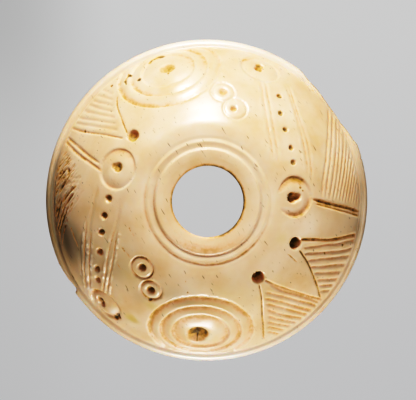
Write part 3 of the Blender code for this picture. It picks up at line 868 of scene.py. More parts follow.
FAN = StrokeGroup(
    (((2.9, 13.98), (10.6, 14.52), (19.1, 15.82), (26.5, 17.47), (32.8, 19.62), (36.6, 21.52)),
     ((2.2, 14.6), (9.1, 15.14), (17.4, 16.41), (24.7, 18.02), (31.1, 20.15), (34.4, 21.8)),
     ((1.5, 15.23), (7.6, 15.87), (15.4, 17.0), (22.7, 18.68), (29.1, 20.67), (31.4, 21.76)),
     ((1.0, 15.85), (6.6, 16.49), (14.2, 17.6), (21.1, 19.05), (27.0, 20.79), (29.0, 21.76)),
     ((0.4, 16.47), (5.6, 17.01), (12.8, 18.11), (18.6, 19.42), (23.9, 21.0), (26.0, 21.66)),
     ((-0.0, 17.04), (4.7, 17.54), (10.6, 18.53), (16.4, 19.7), (22.7, 21.58)),
     ((-0.5, 17.61), (3.8, 18.12), (9.2, 18.99), (14.7, 20.1), (19.4, 21.53)),
     ((-0.9, 18.23), (3.3, 18.73), (8.6, 19.55), (12.9, 20.51), (16.3, 21.5)),
     ((-1.2, 18.85), (2.8, 19.35), (8.0, 20.16), (13.7, 21.5)),
     ((-1.5, 19.46), (2.7, 19.95), (7.5, 20.78), (11.0, 21.62)),
     ((-1.8, 20.08), (2.2, 20.57), (6.2, 21.2), (8.3, 21.66)),
     ((-2.3, 20.8), (1.4, 21.19), (5.3, 21.77)),
     ((-2.8, 21.52), (1.7, 21.84))),
    0.42, 0.105, 0.36,
)
SOFT_LINES = StrokeGroup(
    (((170.5, 13.64), (-179.8, 13.95), (-170.6, 14.81), (-161.5, 15.96)),
     ((176.8, 10.32), (-170.2, 10.81), (-159.8, 12.09), (-149.8, 13.97)),
     ((-166.0, 16.86), (-159.0, 17.88), (-148.6, 20.12))),
    0.55, 0.06, 0.16, Edge.WORN, 1.5,
)
SCRATCHES = StrokeGroup(
    (((-34.1, 13.08), (-32.5, 11.05)), ((-32.5, 11.08), (-34.0, 13.15)),
     ((-154.2, 11.54), (-143.7, 11.22)), ((-165.5, 9.71), (-154.1, 9.41)),
     ((-148.1, 13.34), (-141.1, 13.29)), ((-170.9, 18.46), (-165.5, 18.16), (-160.1, 18.03)),
     ((-110.0, 8.76), (-105.9, 9.51)), ((-112.7, 9.11), (-109.3, 9.46))),
    0.2, 0.05, 0.9,
)
CRACKS = StrokeGroup(
    (((105.9, 21.35), (108.4, 21.5), (111.1, 21.37), (113.1, 20.85)),
     ((-94.4, 17.65), (-94.2, 19.05)), ((124.9, 19.01), (123.8, 20.06), (122.0, 20.39), (122.0, 20.89))),
    0.28, 0.2, 1.5, taper=0.3,
)
LOSSES = PitGroup(
    ((119.3, 18.49, 0.5, 0.2), (121.7, 20.33, 0.5, 0.2),
     (124.3, 19.78, 0.35, 0.2), (129.5, 20.85, 0.3, 0.15), (107.1, 17.4, 0.35, 0.15),
     (150.2, 18.8, 0.35, 0.2), (129.7, 20.75, 0.3, 0.15), (126.5, 21.26, 0.25, 0.15),
     (-127.6, 19.99, 0.75, 0.6), (-128.0, 20.68, 0.75, 0.5), (167.5, 19.05, 0.5, 0.2),
     (-106.0, 9.42, 0.28, 0.12), (-120.7, 13.92, 0.4, 0.2), (-103.0, 10.73, 0.22, 0.08),
     (9.3, 10.99, 0.3, 0.08), (7.2, 11.31, 0.24, 0.06), (-23.6, 16.31, 0.3, 0.1), (-18.1, 19.19, 0.35, 0.1)),
    1.35,
)


@dataclass(frozen=True)
class RimLoss:
    """A break in the rim band: azimuths and the radius left at each."""

    outline: Table
    roughness: float
    nothing_lost: ClassVar[float] = 99.0

    def left(self, azimuths: np.ndarray) -> np.ndarray:
        """Radius left at azimuths, far out where nothing is lost."""
        places, radii = zip(*self.outline)
        return np.interp(azimuths, places, radii, left=self.nothing_lost, right=self.nothing_lost)


RIM_LOSSES = (
    RimLoss(((19.5, 18.1), (22.5, 17.72), (25.0, 17.6), (27.5, 17.46), (30.0, 17.28), (34.0, 17.28),
             (37.5, 17.24), (41.0, 17.34), (45.0, 17.5), (47.5, 17.53), (50.0, 17.62), (52.5, 17.82),
             (56.0, 18.1)), 0.05),
    RimLoss(((-160.0, 18.05), (-152.5, 17.87), (-150.0, 17.79), (-147.5, 17.64), (-146.0, 17.6),
             (-145.2, 17.72), (-144.9, 17.95), (-143.5, 18.1)), 0.05),
    RimLoss(((14.0, 18.1), (15.0, 17.88), (16.0, 18.1)), 0.02),
)


@dataclass(frozen=True)
class RimLines:
    """Turned lines round the rim band, and the tone of the band and the dome's foot.

    Each line has its radius, its width, its depth and its stain. The tables give by
    azimuth the share of the lines that is left, how dark the dome's foot is, how grey the
    band is with painted shade on its unlit sides, and the painted highlight on its lit sides.
    """

    lines: tuple[tuple[float, float, float, float], ...] = (
        (17.2, 0.16, 0.12, 0.24), (17.5, 0.1, 0.06, 0.2), (17.68, 0.1, 0.05, 0.2),
    )
    kept: Table = (
        (-180, 0.95), (-168, 0.9), (-160, 0.25), (-120, 0.1), (-75, 0.1), (-22, 0.25), (-12, 1.0),
        (20, 1.0), (55, 0.3), (75, 0.12), (115, 0.12), (135, 0.8), (160, 1.0), (180, 0.95),
    )
    # Darker at the dome's foot on the left and the right.
    foot_dirt: Table = (
        (-180, 1.3), (-168, 1.2), (-160, 0.5), (-150, 0.2), (-140, 0.0), (-22, 0.0), (-10, 0.45), (10, 0.15),
        (20, 0.0), (150, 0.0), (162, 0.7), (170, 1.2), (180, 1.3),
    )
    # A greyer band, and painted shade on its unlit left and right sides.
    dulled: Table = (
        (-180, 0.55), (-168, 0.5), (-158, 0.38), (-149, 0.26), (-140, 0.04), (-32, 0.0), (-12, 0.4),
        (14, 0.38), (26, 0.08), (36, 0.0), (146, 0.0), (164, 0.3), (180, 0.55),
    )
    # Painted highlight on the band's sides that face the lamps, by azimuth.
    rubbed: Table = (
        (-180, 0.0), (-150, 0.0), (-128, 0.1), (-108, 0.5), (-90, 1.0), (-72, 0.6), (-50, 0.35),
        (-30, 0.1), (20, 0.05), (60, 0.5), (90, 0.7), (130, 0.35), (160, 0.1), (180, 0.0),
    )
    band_begins: tuple[float, float] = (17.15, 17.3)
    foot_share: float = 0.7
    foot_width: float = 0.22
    foot_inside: float = 1.0

    def cut(self, azimuths: np.ndarray, radii: np.ndarray) -> tuple[np.ndarray, np.ndarray]:
        """Depth and stain of the lines.

        Args:
            azimuths: azimuths in degrees.
            radii: radii in millimetres.

        Returns:
            Depth in millimetres and stain, for each pair.
        """
        strength = read_table(self.kept, azimuths)
        depth = np.zeros(len(radii))
        stain = np.zeros(len(radii))
        for at, width, deep, dark in self.lines:
            line = np.exp(-((radii - at) / (width / 2)) ** 2) * strength
            depth = np.maximum(depth, deep * line)
            stain = np.maximum(stain, dark * line)
        return depth, stain

    def dull(self, azimuths: np.ndarray, radii: np.ndarray) -> np.ndarray:
        """How grey the band is, with painted shade on its unlit sides, and how dark the dome's foot is, at
        pairs of azimuth and radius.
        """
        band = read_table(self.dulled, azimuths) * smooth_step(radii, *self.band_begins)
        foot = read_table(self.foot_dirt, azimuths) * (radii > DOME.foot_radius - self.foot_inside)
        near = np.exp(-((radii - DOME.foot_radius) / self.foot_width) ** 2)
        return band + self.foot_share * foot * near

    def polish(self, azimuths: np.ndarray, radii: np.ndarray) -> np.ndarray:
        """Painted highlight on the band on the sides that face the lamps, at pairs of azimuth and radius."""
        return read_table(self.rubbed, azimuths) * smooth_step(radii, *self.band_begins)


@dataclass(frozen=True)
class TurnedStain:
    """A stained circle on the collar, partly painted shade: its radius, half width and strength by azimuth.
    """

    radius: float
    half_width: float
    strength: Table

    def at(self, azimuths: np.ndarray, radii: np.ndarray) -> np.ndarray:
        """Stain at pairs of azimuth and radius."""
        line = np.exp(-((radii - self.radius) / self.half_width) ** 2)
        return line * read_table(self.strength, azimuths)


# Stains on the collar's circles, with painted shade on their lower side and a painted shadow along the bore's
# right edge.
COLLAR_STAINS = (
    TurnedStain(4.02, 0.11, ((-180, 0.9), (-150, 0.7), (-120, 0.4), (-90, 0.4), (-65, 1.5), (-30, 1.6),
                             (45, 1.6), (90, 1.5), (115, 0.8), (150, 0.7), (180, 0.9))),
    TurnedStain(4.83, 0.12, ((-180, 0.16), (-150, 0.22), (-100, 0.3), (-60, 0.22), (-40, 0.0), (150, 0.0),
                             (180, 0.16))),
    TurnedStain(5.98, 0.15, ((-180, 0.3), (-150, 0.35), (-90, 0.42), (-30, 0.25), (0, 0.04), (150, 0.0),
                             (162, 0.25), (180, 0.3))),
    TurnedStain(6.97, 0.18, ((-180, 0.26), (-150, 0.35), (-100, 0.4), (-65, 0.6), (-40, 0.5), (-15, 0.1),
                             (150, 0.0), (165, 0.2), (180, 0.26))),
    TurnedStain(5.4, 0.55, ((-165, 0.0), (-125, 0.25), (-90, 0.42), (-60, 0.25), (-20, 0.0))),
)


@dataclass(frozen=True)
class Patch:
    """A soft patch on the dome, given by its two reaches: a film or a stain, painted shade or a painted
    highlight.
    """

    azimuth: float
    arc: float
    across: float
    along: float
    strength: float
    near_side: ClassVar[float] = 0.3

    def at(self, directions: np.ndarray) -> np.ndarray:
        """Strength of the patch at directions."""
        middle = DOME.direction(self.azimuth, self.arc)
        turn = math.radians(self.azimuth)
        right = np.array([-math.sin(turn), math.cos(turn), 0.0])
        upward = np.cross(middle, right)
        x = directions @ right * DOME.radius / self.across
        y = directions @ upward * DOME.radius / self.along
        return self.strength * np.exp(-(x ** 2 + y ** 2)) * (directions @ middle > self.near_side)


# Dark film on the bone, partly painted shade, most of it on the left flank that turns from the lamps.
DARK_FILM = (
    Patch(-164.5, 17.8, 2.4, 1.6, 0.45),
    Patch(-156.0, 17.2, 1.8, 2.0, 0.38),
    Patch(-169.5, 18.8, 1.4, 1.5, 0.14),
    Patch(-174.0, 20.6, 2.8, 1.5, 0.48),
    Patch(171.5, 20.2, 2.8, 1.9, 0.36),
    Patch(177.0, 19.0, 2.0, 1.6, 0.16),
    Patch(-157.0, 20.4, 2.4, 1.3, 0.3),
    Patch(-163.5, 20.2, 2.2, 1.5, 0.44),
    Patch(-144.0, 20.0, 1.5, 1.5, 0.34),
    Patch(-144.5, 14.2, 2.2, 2.8, 0.32),
    Patch(-125.5, 14.5, 1.2, 1.4, 0.25),
    Patch(-108.5, 11.8, 3.0, 1.8, 0.4),
    Patch(-70.0, 12.0, 3.4, 2.4, 0.13),
    Patch(-45.0, 9.6, 2.4, 1.8, 0.1),
    Patch(-11.0, 21.3, 1.8, 1.1, 0.34),
    Patch(4.0, 21.6, 2.4, 0.9, 0.3),
    Patch(7.0, 19.8, 3.2, 1.6, 0.13),
)
# Painted highlights: two pale spots by the ring at the lower left, where the surface catches the light.
WORN_SPOTS = (
    Patch(-129.8, 19.8, 0.7, 1.1, 0.7),
    Patch(-143.2, 20.3, 0.4, 0.9, 0.6),
)
# Yellowed spots on the bone, and a yellow-tan painted shade over the lower and right parts of the dome, the
# lower motif's boss among them.
YELLOWING = (
    Patch(-122.5, 18.5, 1.0, 0.75, 0.85),
    Patch(-26.0, 9.5, 0.8, 0.9, 0.45),
    Patch(-137.0, 13.0, 1.2, 0.8, 0.15),
    Patch(-140.5, 17.6, 1.0, 0.6, 0.2),
    Patch(-93.0, 17.0, 4.5, 3.6, 0.16),
    Patch(-118.0, 14.6, 1.1, 0.7, 0.5),
    Patch(-4.0, 18.0, 4.0, 3.0, 0.14),
    Patch(-15.0, 13.0, 5.0, 4.0, 0.12),
    Patch(30.0, 16.0, 5.0, 4.0, 0.14),
    Patch(-60.0, 12.0, 5.0, 3.0, 0.14),
    Patch(-82.0, 12.0, 5.0, 3.0, 0.32),
    Patch(-107.0, 11.8, 2.6, 1.8, 0.16),
    Patch(-57.0, 19.5, 3.0, 2.2, 0.16),
    Patch(-145.0, 12.5, 5.5, 4.0, 0.32),
)


class Mark(IntEnum):
    """What the mesh keeps at each point for its material, a column for each."""

    # Stain, dark film and yellowing also carry painted shade, and the worn mark also carries painted
    # highlights.
    STAIN = 0
    DARK_FILM = 1
    YELLOWING = 2
    WORN = 3


PATCHES = {Mark.DARK_FILM: DARK_FILM, Mark.YELLOWING: YELLOWING, Mark.WORN: WORN_SPOTS}


@dataclass
class Points:
    """Points of the turned surface while it is worked on, an entry for each."""

    azimuth: np.ndarray
    along: np.ndarray
    turn: np.ndarray
    radius: np.ndarray
    height: np.ndarray
    stain: np.ndarray


@dataclass
class WhorlSurface:
    """The whole outside of the whorl as one function of a place on a ring.

    A pair named fade or ends gives where a change begins and where it is full. The
    wall values shape the rough wall of a break, and the burr values the raised lips of
    the strokes. A noise is its wavelength and its seed.
    """

    body: TurnedBody
    cuts: Sequence[Cut]
    losses: Sequence[RimLoss]
    rim_lines: RimLines = field(default_factory=RimLines)
    rim_band: tuple[float, float] = (0.4, 1.0)
    collar_shift: tuple[float, float] = (-0.08, 0.2)
    collar_fade: tuple[float, float] = (8.4, 10.6)
    crown_height: float = 10.0
    crown_radius: float = 8.0
    crown_fade: tuple[float, float] = (10.2, 11.3)
    break_radii: tuple[float, float] = (17.0, 17.98)
    break_steps: int = 60
    dome_share: float = 0.75
    wall_radius: float = 17.5
    wall_height: float = 2.0
    wall_shrink: float = 1.6
    wall_lumps: float = 0.7
    wall_grit: float = 0.6
    wall_lean: float = 0.1
    wall_stain: tuple[float, float] = (0.35, 0.2)
    reach_margin: float = 1.05
    widest_reach: float = 3.0
    carved_above: float = 1.2
    carved_outside: float = 4.8
    carving_ends: tuple[float, float] = (21.6, 22.08)
    skin_gap: float = 0.004
    stain_fade: tuple[float, float] = (0.0, 0.03)
    burr_specks: float = 1.7
    least_burr: float = 0.15
    pale_burr: float = 0.25
    palest: float = 0.35
    wave_fade: tuple[float, float] = (1.9, 2.6)
    wave_heights: tuple[float, float] = (0.012, 0.003)
    film_above: float = 0.3
    patch_above: float = 1.0
    hand_noise: tuple[float, int] = (1.6, 11)
    fine_noise: tuple[float, int] = (0.35, 12)
    slow_noise: tuple[float, int] = (4.5, 13)

    def __post_init__(self) -> None:
        """Work out the section, how far each cut reaches, and the noises."""
        self.loop = self.body.loop()
        self.reached = [(cut, *cut.reach()) for cut in self.cuts]
        self.hand = LatticeNoise(*self.hand_noise)
        self.fine = LatticeNoise(*self.fine_noise)
        self.slow = LatticeNoise(*self.slow_noise)
        self.section = self.break_section()

    def break_section(self) -> tuple[np.ndarray, np.ndarray, np.ndarray, np.ndarray]:
        """Where circles near the rim meet the section, under and on the band.

        Returns:
            Radii, then for each its place on the loop below and above, and the
            height above.
        """
        count = len(self.loop)
        widest = int(np.argmax(self.loop[:, 0]))
        radii = np.linspace(*self.break_radii, self.break_steps)
        share = np.arange(count) / count
        below = np.interp(radii, self.loop[:widest, 0], share[:widest])
        outer_half = slice(widest, int(count * self.dome_share))
        falling = np.minimum.accumulate(self.loop[outer_half, 0])
        above = np.interp(-radii, -falling, share[outer_half])
        height = np.interp(above, share, self.loop[:, 1])
        return radii, below, above, height

    def section_at(self, loop_places: np.ndarray) -> tuple[np.ndarray, np.ndarray]:
        """Radius and height, and the outward direction, at places on the loop."""
        count = len(self.loop)
        at = (loop_places % 1.0) * count
        first = np.floor(at).astype(int) % count
        share = (at - np.floor(at))[:, None]
        after = (first + 1) % count
        points = self.loop[first] * (1 - share) + self.loop[after] * share
        run = self.loop[(first + 2) % count] - self.loop[(first - 1) % count]
        outward = unit(np.stack([run[:, 1], -run[:, 0]], axis=1))
        return points, outward

    def carve(self, directions: np.ndarray, under: np.ndarray) -> tuple[np.ndarray, np.ndarray, np.ndarray]:
        """Depth under the turned surface and stain at directions from the dome's centre.

        Args:
            directions: unit vectors.
            under: how far the turned surface itself lies inside the ball.

        Returns:
            Depth in millimetres, stain and pale rough lip, for each direction.
        """
        depth = np.zeros(len(directions))
        raised = np.zeros(len(directions))
        stain = np.zeros(len(directions))
        uneven = self.hand.at(directions * DOME.radius)
        for cut, middle, far in self.reached:
            widest = min(far / DOME.radius * self.reach_margin, self.widest_reach)
            near = np.nonzero(directions @ middle > math.cos(widest))[0]
            if len(near) == 0:
                continue
            deep, dark = cut.cut(directions[near], uneven[near])
            depth[near] = np.maximum(depth[near], deep)
            raised[near] = np.maximum(raised[near], -deep)
            stain[near] = np.maximum(stain[near], dark)
        ending = 1.0 - smooth_step(DOME.arcs(directions), *self.carving_ends)
        shown = np.maximum(depth - np.maximum(under, 0.0), 0.0)
        specks = 1.0 + self.burr_specks * self.fine.at(directions * DOME.radius)
        lip = np.where(shown > 0.0, 0.0, raised * np.maximum(specks, self.least_burr)) * ending
        stain *= ending * smooth_step(depth - under, *self.stain_fade)
        return shown * ending - lip, stain, np.clip(lip / self.pale_burr, 0.0, self.palest)

    def break_rim(self, points: Points) -> None:
        """Bring the points in the breaks in to a rough, slightly leaning wall."""
        radii, below, above, top = self.section
        for loss in self.losses:
            left = loss.left(points.azimuth)
            low = np.interp(left, radii, below)
            high = np.interp(left, radii, above)
            broken = (left < radii[-1]) & (points.along > low) & (points.along < high)
            if not broken.any():
                continue
            share = (points.along[broken] - low[broken]) / (high[broken] - low[broken])
            rise = np.interp(left[broken], radii, top)
            where = np.column_stack([points.turn[broken] * self.wall_radius, share * self.wall_height])
            rough = self.hand.at(where * self.wall_shrink) * self.wall_lumps
            rough = rough + self.fine.at(where) * self.wall_grit
            bow = np.sqrt(np.sin(math.pi * share))
            wall = left[broken] + loss.roughness * rough * bow + self.wall_lean * (0.5 - share)
            stained = self.wall_stain[0] + self.wall_stain[1] * rough
            points.radius[broken] = wall
            points.height[broken] = share * rise
            points.stain[broken] = np.maximum(points.stain[broken], stained)

    def stain_collar(self, points: Points) -> None:
        """Stain the circles of the collar, with painted shade on their lower side and at the bore's right
        edge.
        """
        crown = (points.height > self.crown_height) & (points.radius < self.crown_radius)
        fading = smooth_step(points.height[crown], *self.crown_fade)
        for circle in COLLAR_STAINS:
            line = fading * circle.at(points.azimuth[crown], points.radius[crown])
            points.stain[crown] = np.maximum(points.stain[crown], line)

    def aged(self, points: Points, places: np.ndarray, lips: np.ndarray) -> np.ndarray:
        """Marks that the points carry, painted shade and painted highlights among them.

        Args:
            points: the points, with their stain.
            places: where they are, in millimetres.
            lips: how pale the raised lips are.

        Returns:
            A row of marks for each point.
        """
        marks = np.zeros((len(places), len(Mark)))
        filmed = points.height > self.film_above
        patched = points.height > self.patch_above
        marks[:, Mark.STAIN] = points.stain
        # The dark film mark also takes the painted shade on the unlit sides of the rim band.
        marks[:, Mark.DARK_FILM] = self.rim_lines.dull(points.azimuth, points.radius) * filmed
        rubbed = self.rim_lines.polish(points.azimuth, points.radius) * filmed
        # The worn mark also takes the painted highlight on the rim band.
        marks[:, Mark.WORN] = np.maximum(rubbed, lips)
        towards = unit(places - DOME.centre)
        for mark, patches in PATCHES.items():
            for patch in patches:
                marks[:, mark] += patch.at(towards) * patched
        return marks

    def at(self, domain: np.ndarray) -> tuple[np.ndarray, np.ndarray]:
        """Place on the surface and its marks for each point of the domain.

        Args:
            domain: cosine and sine of the azimuth, then of the turn along the loop.

        Returns:
            Places in millimetres, and for each its stain, dark film, yellowing and wear, which carry painted
            shade and painted highlights as well.
        """
        azimuth = np.degrees(np.arctan2(domain[:, 1], domain[:, 0]))
        along = (np.arctan2(domain[:, 3], domain[:, 2]) / (2 * math.pi)) % 1.0
        section, outward = self.section_at(along)
        radius, height = section[:, 0].copy(), section[:, 1].copy()
        turn = domain[:, :2] / np.linalg.norm(domain[:, :2], axis=1, keepdims=True)
        inside, above = self.rim_band
        band = (radius > DOME.foot_radius - inside) & (height > above)
        lines, stain = self.rim_lines.cut(azimuth, radius)
        lines *= band
        radius -= lines * outward[:, 0]
        height -= lines * outward[:, 1]
        points = Points(azimuth, along, turn, radius, height, stain * band)
        self.break_rim(points)
        self.stain_collar(points)
        places = np.column_stack([turn * points.radius[:, None], points.height])
        shift = 1.0 - smooth_step(points.radius, *self.collar_fade)
        places[:, :2] += shift[:, None] * np.array(self.collar_shift)
        normals = np.column_stack([turn * outward[:, :1], outward[:, 1]])
        carved = (points.height > self.carved_above) & (points.radius > self.carved_outside)
        ball = places[carved] - DOME.centre
        size = np.linalg.norm(ball, axis=1)
        depth, dark, lip = self.carve(ball / size[:, None], DOME.radius - size - self.skin_gap)
        points.stain[carved] = np.maximum(points.stain[carved], dark)
        slow, quick = self.wave_heights
        wave = slow * self.slow.at(places) + quick * self.hand.at(places)
        move = smooth_step(points.height, *self.wave_fade) * wave
        move[carved] += depth
        lips = np.zeros(len(domain))
        lips[carved] = lip
        return places - normals * move[:, None], self.aged(points, places, lips)


@dataclass
class Skin:
    """Triangles over the surface, split where the carving needs them.

    The plain parts, under the whorl and in the bore, may be coarser by two factors.
    """

    surface: WhorlSurface
    tolerance: float = 0.0036
    shortest: float = 0.05
    longest: float = 0.5
    budget: int = 186000
    columns: int = 96
    row_height: float = 1.2
    rounds: int = 40
    stain_weight: float = 0.02
    plain_tolerance: float = 3.0
    plain_length: float = 2.6
    plain_below: float = 0.4
    plain_bore: tuple[float, float] = (4.6, 11.0)
    domain: np.ndarray = field(default_factory=lambda: np.zeros((0, 4)))
    places: np.ndarray = field(default_factory=lambda: np.zeros((0, 3)))
    marks: np.ndarray = field(default_factory=lambda: np.zeros((0, 4)))
    triangles: np.ndarray = field(default_factory=lambda: np.zeros((0, 3), dtype=np.int64))

    def start(self) -> None:
        """Lay an even grid over the surface, each square cut along one diagonal."""
        loop = self.surface.loop
        count = len(loop)
        step = np.linalg.norm(np.diff(np.vstack([loop, loop[:1]]), axis=0), axis=1)
        travelled = np.concatenate([[0.0], np.cumsum(step)])
        rows = int(travelled[-1] / self.row_height)
        along = np.interp(np.linspace(0, travelled[-1], rows, endpoint=False), travelled,
                          np.arange(count + 1) / count)
        around = np.arange(self.columns) / self.columns
        u, w = np.meshgrid(around * 2 * math.pi, along * 2 * math.pi)
        self.domain = np.stack([np.cos(u), np.sin(u), np.cos(w), np.sin(w)], axis=-1).reshape(-1, 4)
        cell = np.arange(rows * self.columns).reshape(rows, self.columns)
        right = np.roll(cell, -1, axis=1)
        up = np.roll(cell, -1, axis=0)
        across = np.roll(right, -1, axis=0)
        lower = np.stack([across, cell, right], axis=-1).reshape(-1, 3)
        upper = np.stack([cell, across, up], axis=-1).reshape(-1, 3)
        self.triangles = np.vstack([lower, upper])
        self.places, self.marks = self.surface.at(self.domain)

    def edges(self) -> tuple[np.ndarray, np.ndarray]:
        """Every edge once, and for each triangle the numbers of its three edges."""
        tri = self.triangles
        pairs = np.sort(np.stack([tri, np.roll(tri, -1, axis=1)], axis=-1), axis=-1)
        keys = pairs[..., 0] * np.int64(len(self.domain)) + pairs[..., 1]
        unique, numbers = np.unique(keys.ravel(), return_inverse=True)
        edges = np.stack([unique // len(self.domain), unique % len(self.domain)], axis=1)
        return edges, numbers.reshape(-1, 3)

    def halfway(self, edges: np.ndarray) -> np.ndarray:
        """Domain points in the middle of edges."""
        middle = self.domain[edges[:, 0]] + self.domain[edges[:, 1]]
        return np.hstack([unit(middle[:, :2]), unit(middle[:, 2:])])

    def split(self, marked: np.ndarray, numbers: np.ndarray, edges: np.ndarray,
              found: tuple[np.ndarray, np.ndarray, np.ndarray]) -> None:
        """Halve the marked edges by newest-vertex bisection.

        Args:
            marked: which edges are halved; closed, so a triangle's first edge is
                marked when any of its edges is.
            numbers: the three edge numbers of each triangle.
            edges: the two ends of each edge.
            found: domain points, places and marks in the middle of every edge.
        """
        fresh = np.full(len(edges), -1, dtype=np.int64)
        fresh[marked] = len(self.domain) + np.arange(int(marked.sum()))
        middle, places, marks = found
        self.domain = np.vstack([self.domain, middle[marked]])
        self.places = np.vstack([self.places, places[marked]])
        self.marks = np.vstack([self.marks, marks[marked]])
        a, b, c = self.triangles.T
        ab, bc, ca = fresh[numbers].T
        whole = ab < 0
        only = ~whole & (bc < 0) & (ca < 0)
        second = ~whole & (bc >= 0) & (ca < 0)
        third = ~whole & (bc < 0) & (ca >= 0)
        all_three = ~whole & (bc >= 0) & (ca >= 0)

        def rows(mask: np.ndarray, *columns: np.ndarray) -> np.ndarray:
            """Stack three columns of the masked triangles."""
            return np.stack([column[mask] for column in columns], axis=1)

        self.triangles = np.vstack([
            self.triangles[whole],
            rows(only, c, a, ab), rows(only, b, c, ab),
            rows(second, c, a, ab), rows(second, ab, b, bc), rows(second, c, ab, bc),
            rows(third, ab, c, ca), rows(third, a, ab, ca), rows(third, b, c, ab),
            rows(all_three, ab, c, ca), rows(all_three, a, ab, ca),
            rows(all_three, ab, b, bc), rows(all_three, c, ab, bc),
        ])

    def plain(self, ends: np.ndarray) -> np.ndarray:
        """Which edges lie under the whorl or in the bore, from their two ends."""
        out = np.linalg.norm(ends[:, :, :2], axis=2).max(axis=1)
        top = ends[:, :, 2].max(axis=1)
        bore_radius, bore_top = self.plain_bore
        return (top < self.plain_below) | ((out < bore_radius) & (top < bore_top))

    def refine(self) -> None:
        """Split until edges are short enough or follow the surface closely."""
        self.start()
        for _ in range(self.rounds):
            edges, numbers = self.edges()
            middle = self.halfway(edges)
            places, marks = self.surface.at(middle)
            ends = self.places[edges]
            length = np.linalg.norm(ends[:, 0] - ends[:, 1], axis=1)
            error = np.linalg.norm(places - ends.mean(axis=1), axis=1)
            stains = self.marks[edges, Mark.STAIN].mean(axis=1)
            tone = np.abs(marks[:, Mark.STAIN] - stains) * self.stain_weight
            plain = self.plain(ends)
            tolerance = np.where(plain, self.plain_tolerance * self.tolerance, self.tolerance)
            wanted = (np.maximum(error, tone) > tolerance) & (length > self.shortest)
            marked = wanted | (length > np.where(plain, self.plain_length * self.longest, self.longest))
            while True:
                lagging = marked[numbers].any(axis=1) & ~marked[numbers[:, 0]]
                if not lagging.any():
                    break
                marked[numbers[lagging, 0]] = True
            growth = marked[numbers].sum()
            if not marked.any() or len(self.triangles) + growth > self.budget:
                break
            self.split(marked, numbers, edges, (middle, places, marks))
        log.info("skin: %d triangles, %d points", len(self.triangles), len(self.domain))


def linear(code: str) -> tuple[float, float, float, float]:
    """Turn an sRGB hex colour into the linear one that shaders take.

    Args:
        code: six hex digits after a hash sign.

    Returns:
        Red, green, blue and an alpha of one.
    """
    channels = [int(code[i:i + 2], 16) / 255.0 for i in (1, 3, 5)]
    turned = [c / 12.92 if c <= 0.04045 else ((c + 0.055) / 1.055) ** 2.4 for c in channels]
    return (*turned, 1.0)


def per_metre(wavelength: float) -> float:
    """Noise scale for features of a wavelength in millimetres."""
    return 1.0 / (wavelength * MM)


def spread(low: float, high: float, least: float, most: float) -> dict[str, float]:
    """Settings that map a range of values to another range."""
    return {"From Min": low, "From Max": high, "To Min": least, "To Max": most}


class Nodes:
    """A material's node tree, filled one node at a time."""

    def __init__(self, name: str) -> None:
        """Make a material with an empty tree."""
        self.material = bpy.data.materials.new(name)
        self.material.use_nodes = True
        self.tree = self.material.node_tree
        self.tree.nodes.clear()

    def add(self, kind: str, settings: dict[str | int, object] | None = None,
            links: dict[str | int, bpy.types.NodeSocket] | None = None,
            stops: Sequence[tuple[float, str]] = (), **properties: object) -> bpy.types.Node:
        """Add a node with its settings and links.

        Args:
            kind: the node's type name without its prefix.
            settings: values for unlinked inputs, by socket name or number.
            links: sockets that feed inputs, by socket name or number.
            stops: position and sRGB colour of each stop, where the node has a ramp.
            properties: attributes of the node itself.

        Returns:
            The new node.
        """
        node = self.tree.nodes.new("ShaderNode" + kind)
        for name, value in properties.items():
            setattr(node, name, value)
        for key, value in (settings or {}).items():
            node.inputs[key].default_value = value
        for key, socket in (links or {}).items():
            self.tree.links.new(socket, node.inputs[key])
        if stops:
            elements = node.color_ramp.elements
            for element, (position, colour) in zip(elements, (stops[0], stops[-1])):
                element.position, element.color = position, linear(colour)
            for position, colour in stops[1:-1]:
                elements.new(position).color = linear(colour)
        return node


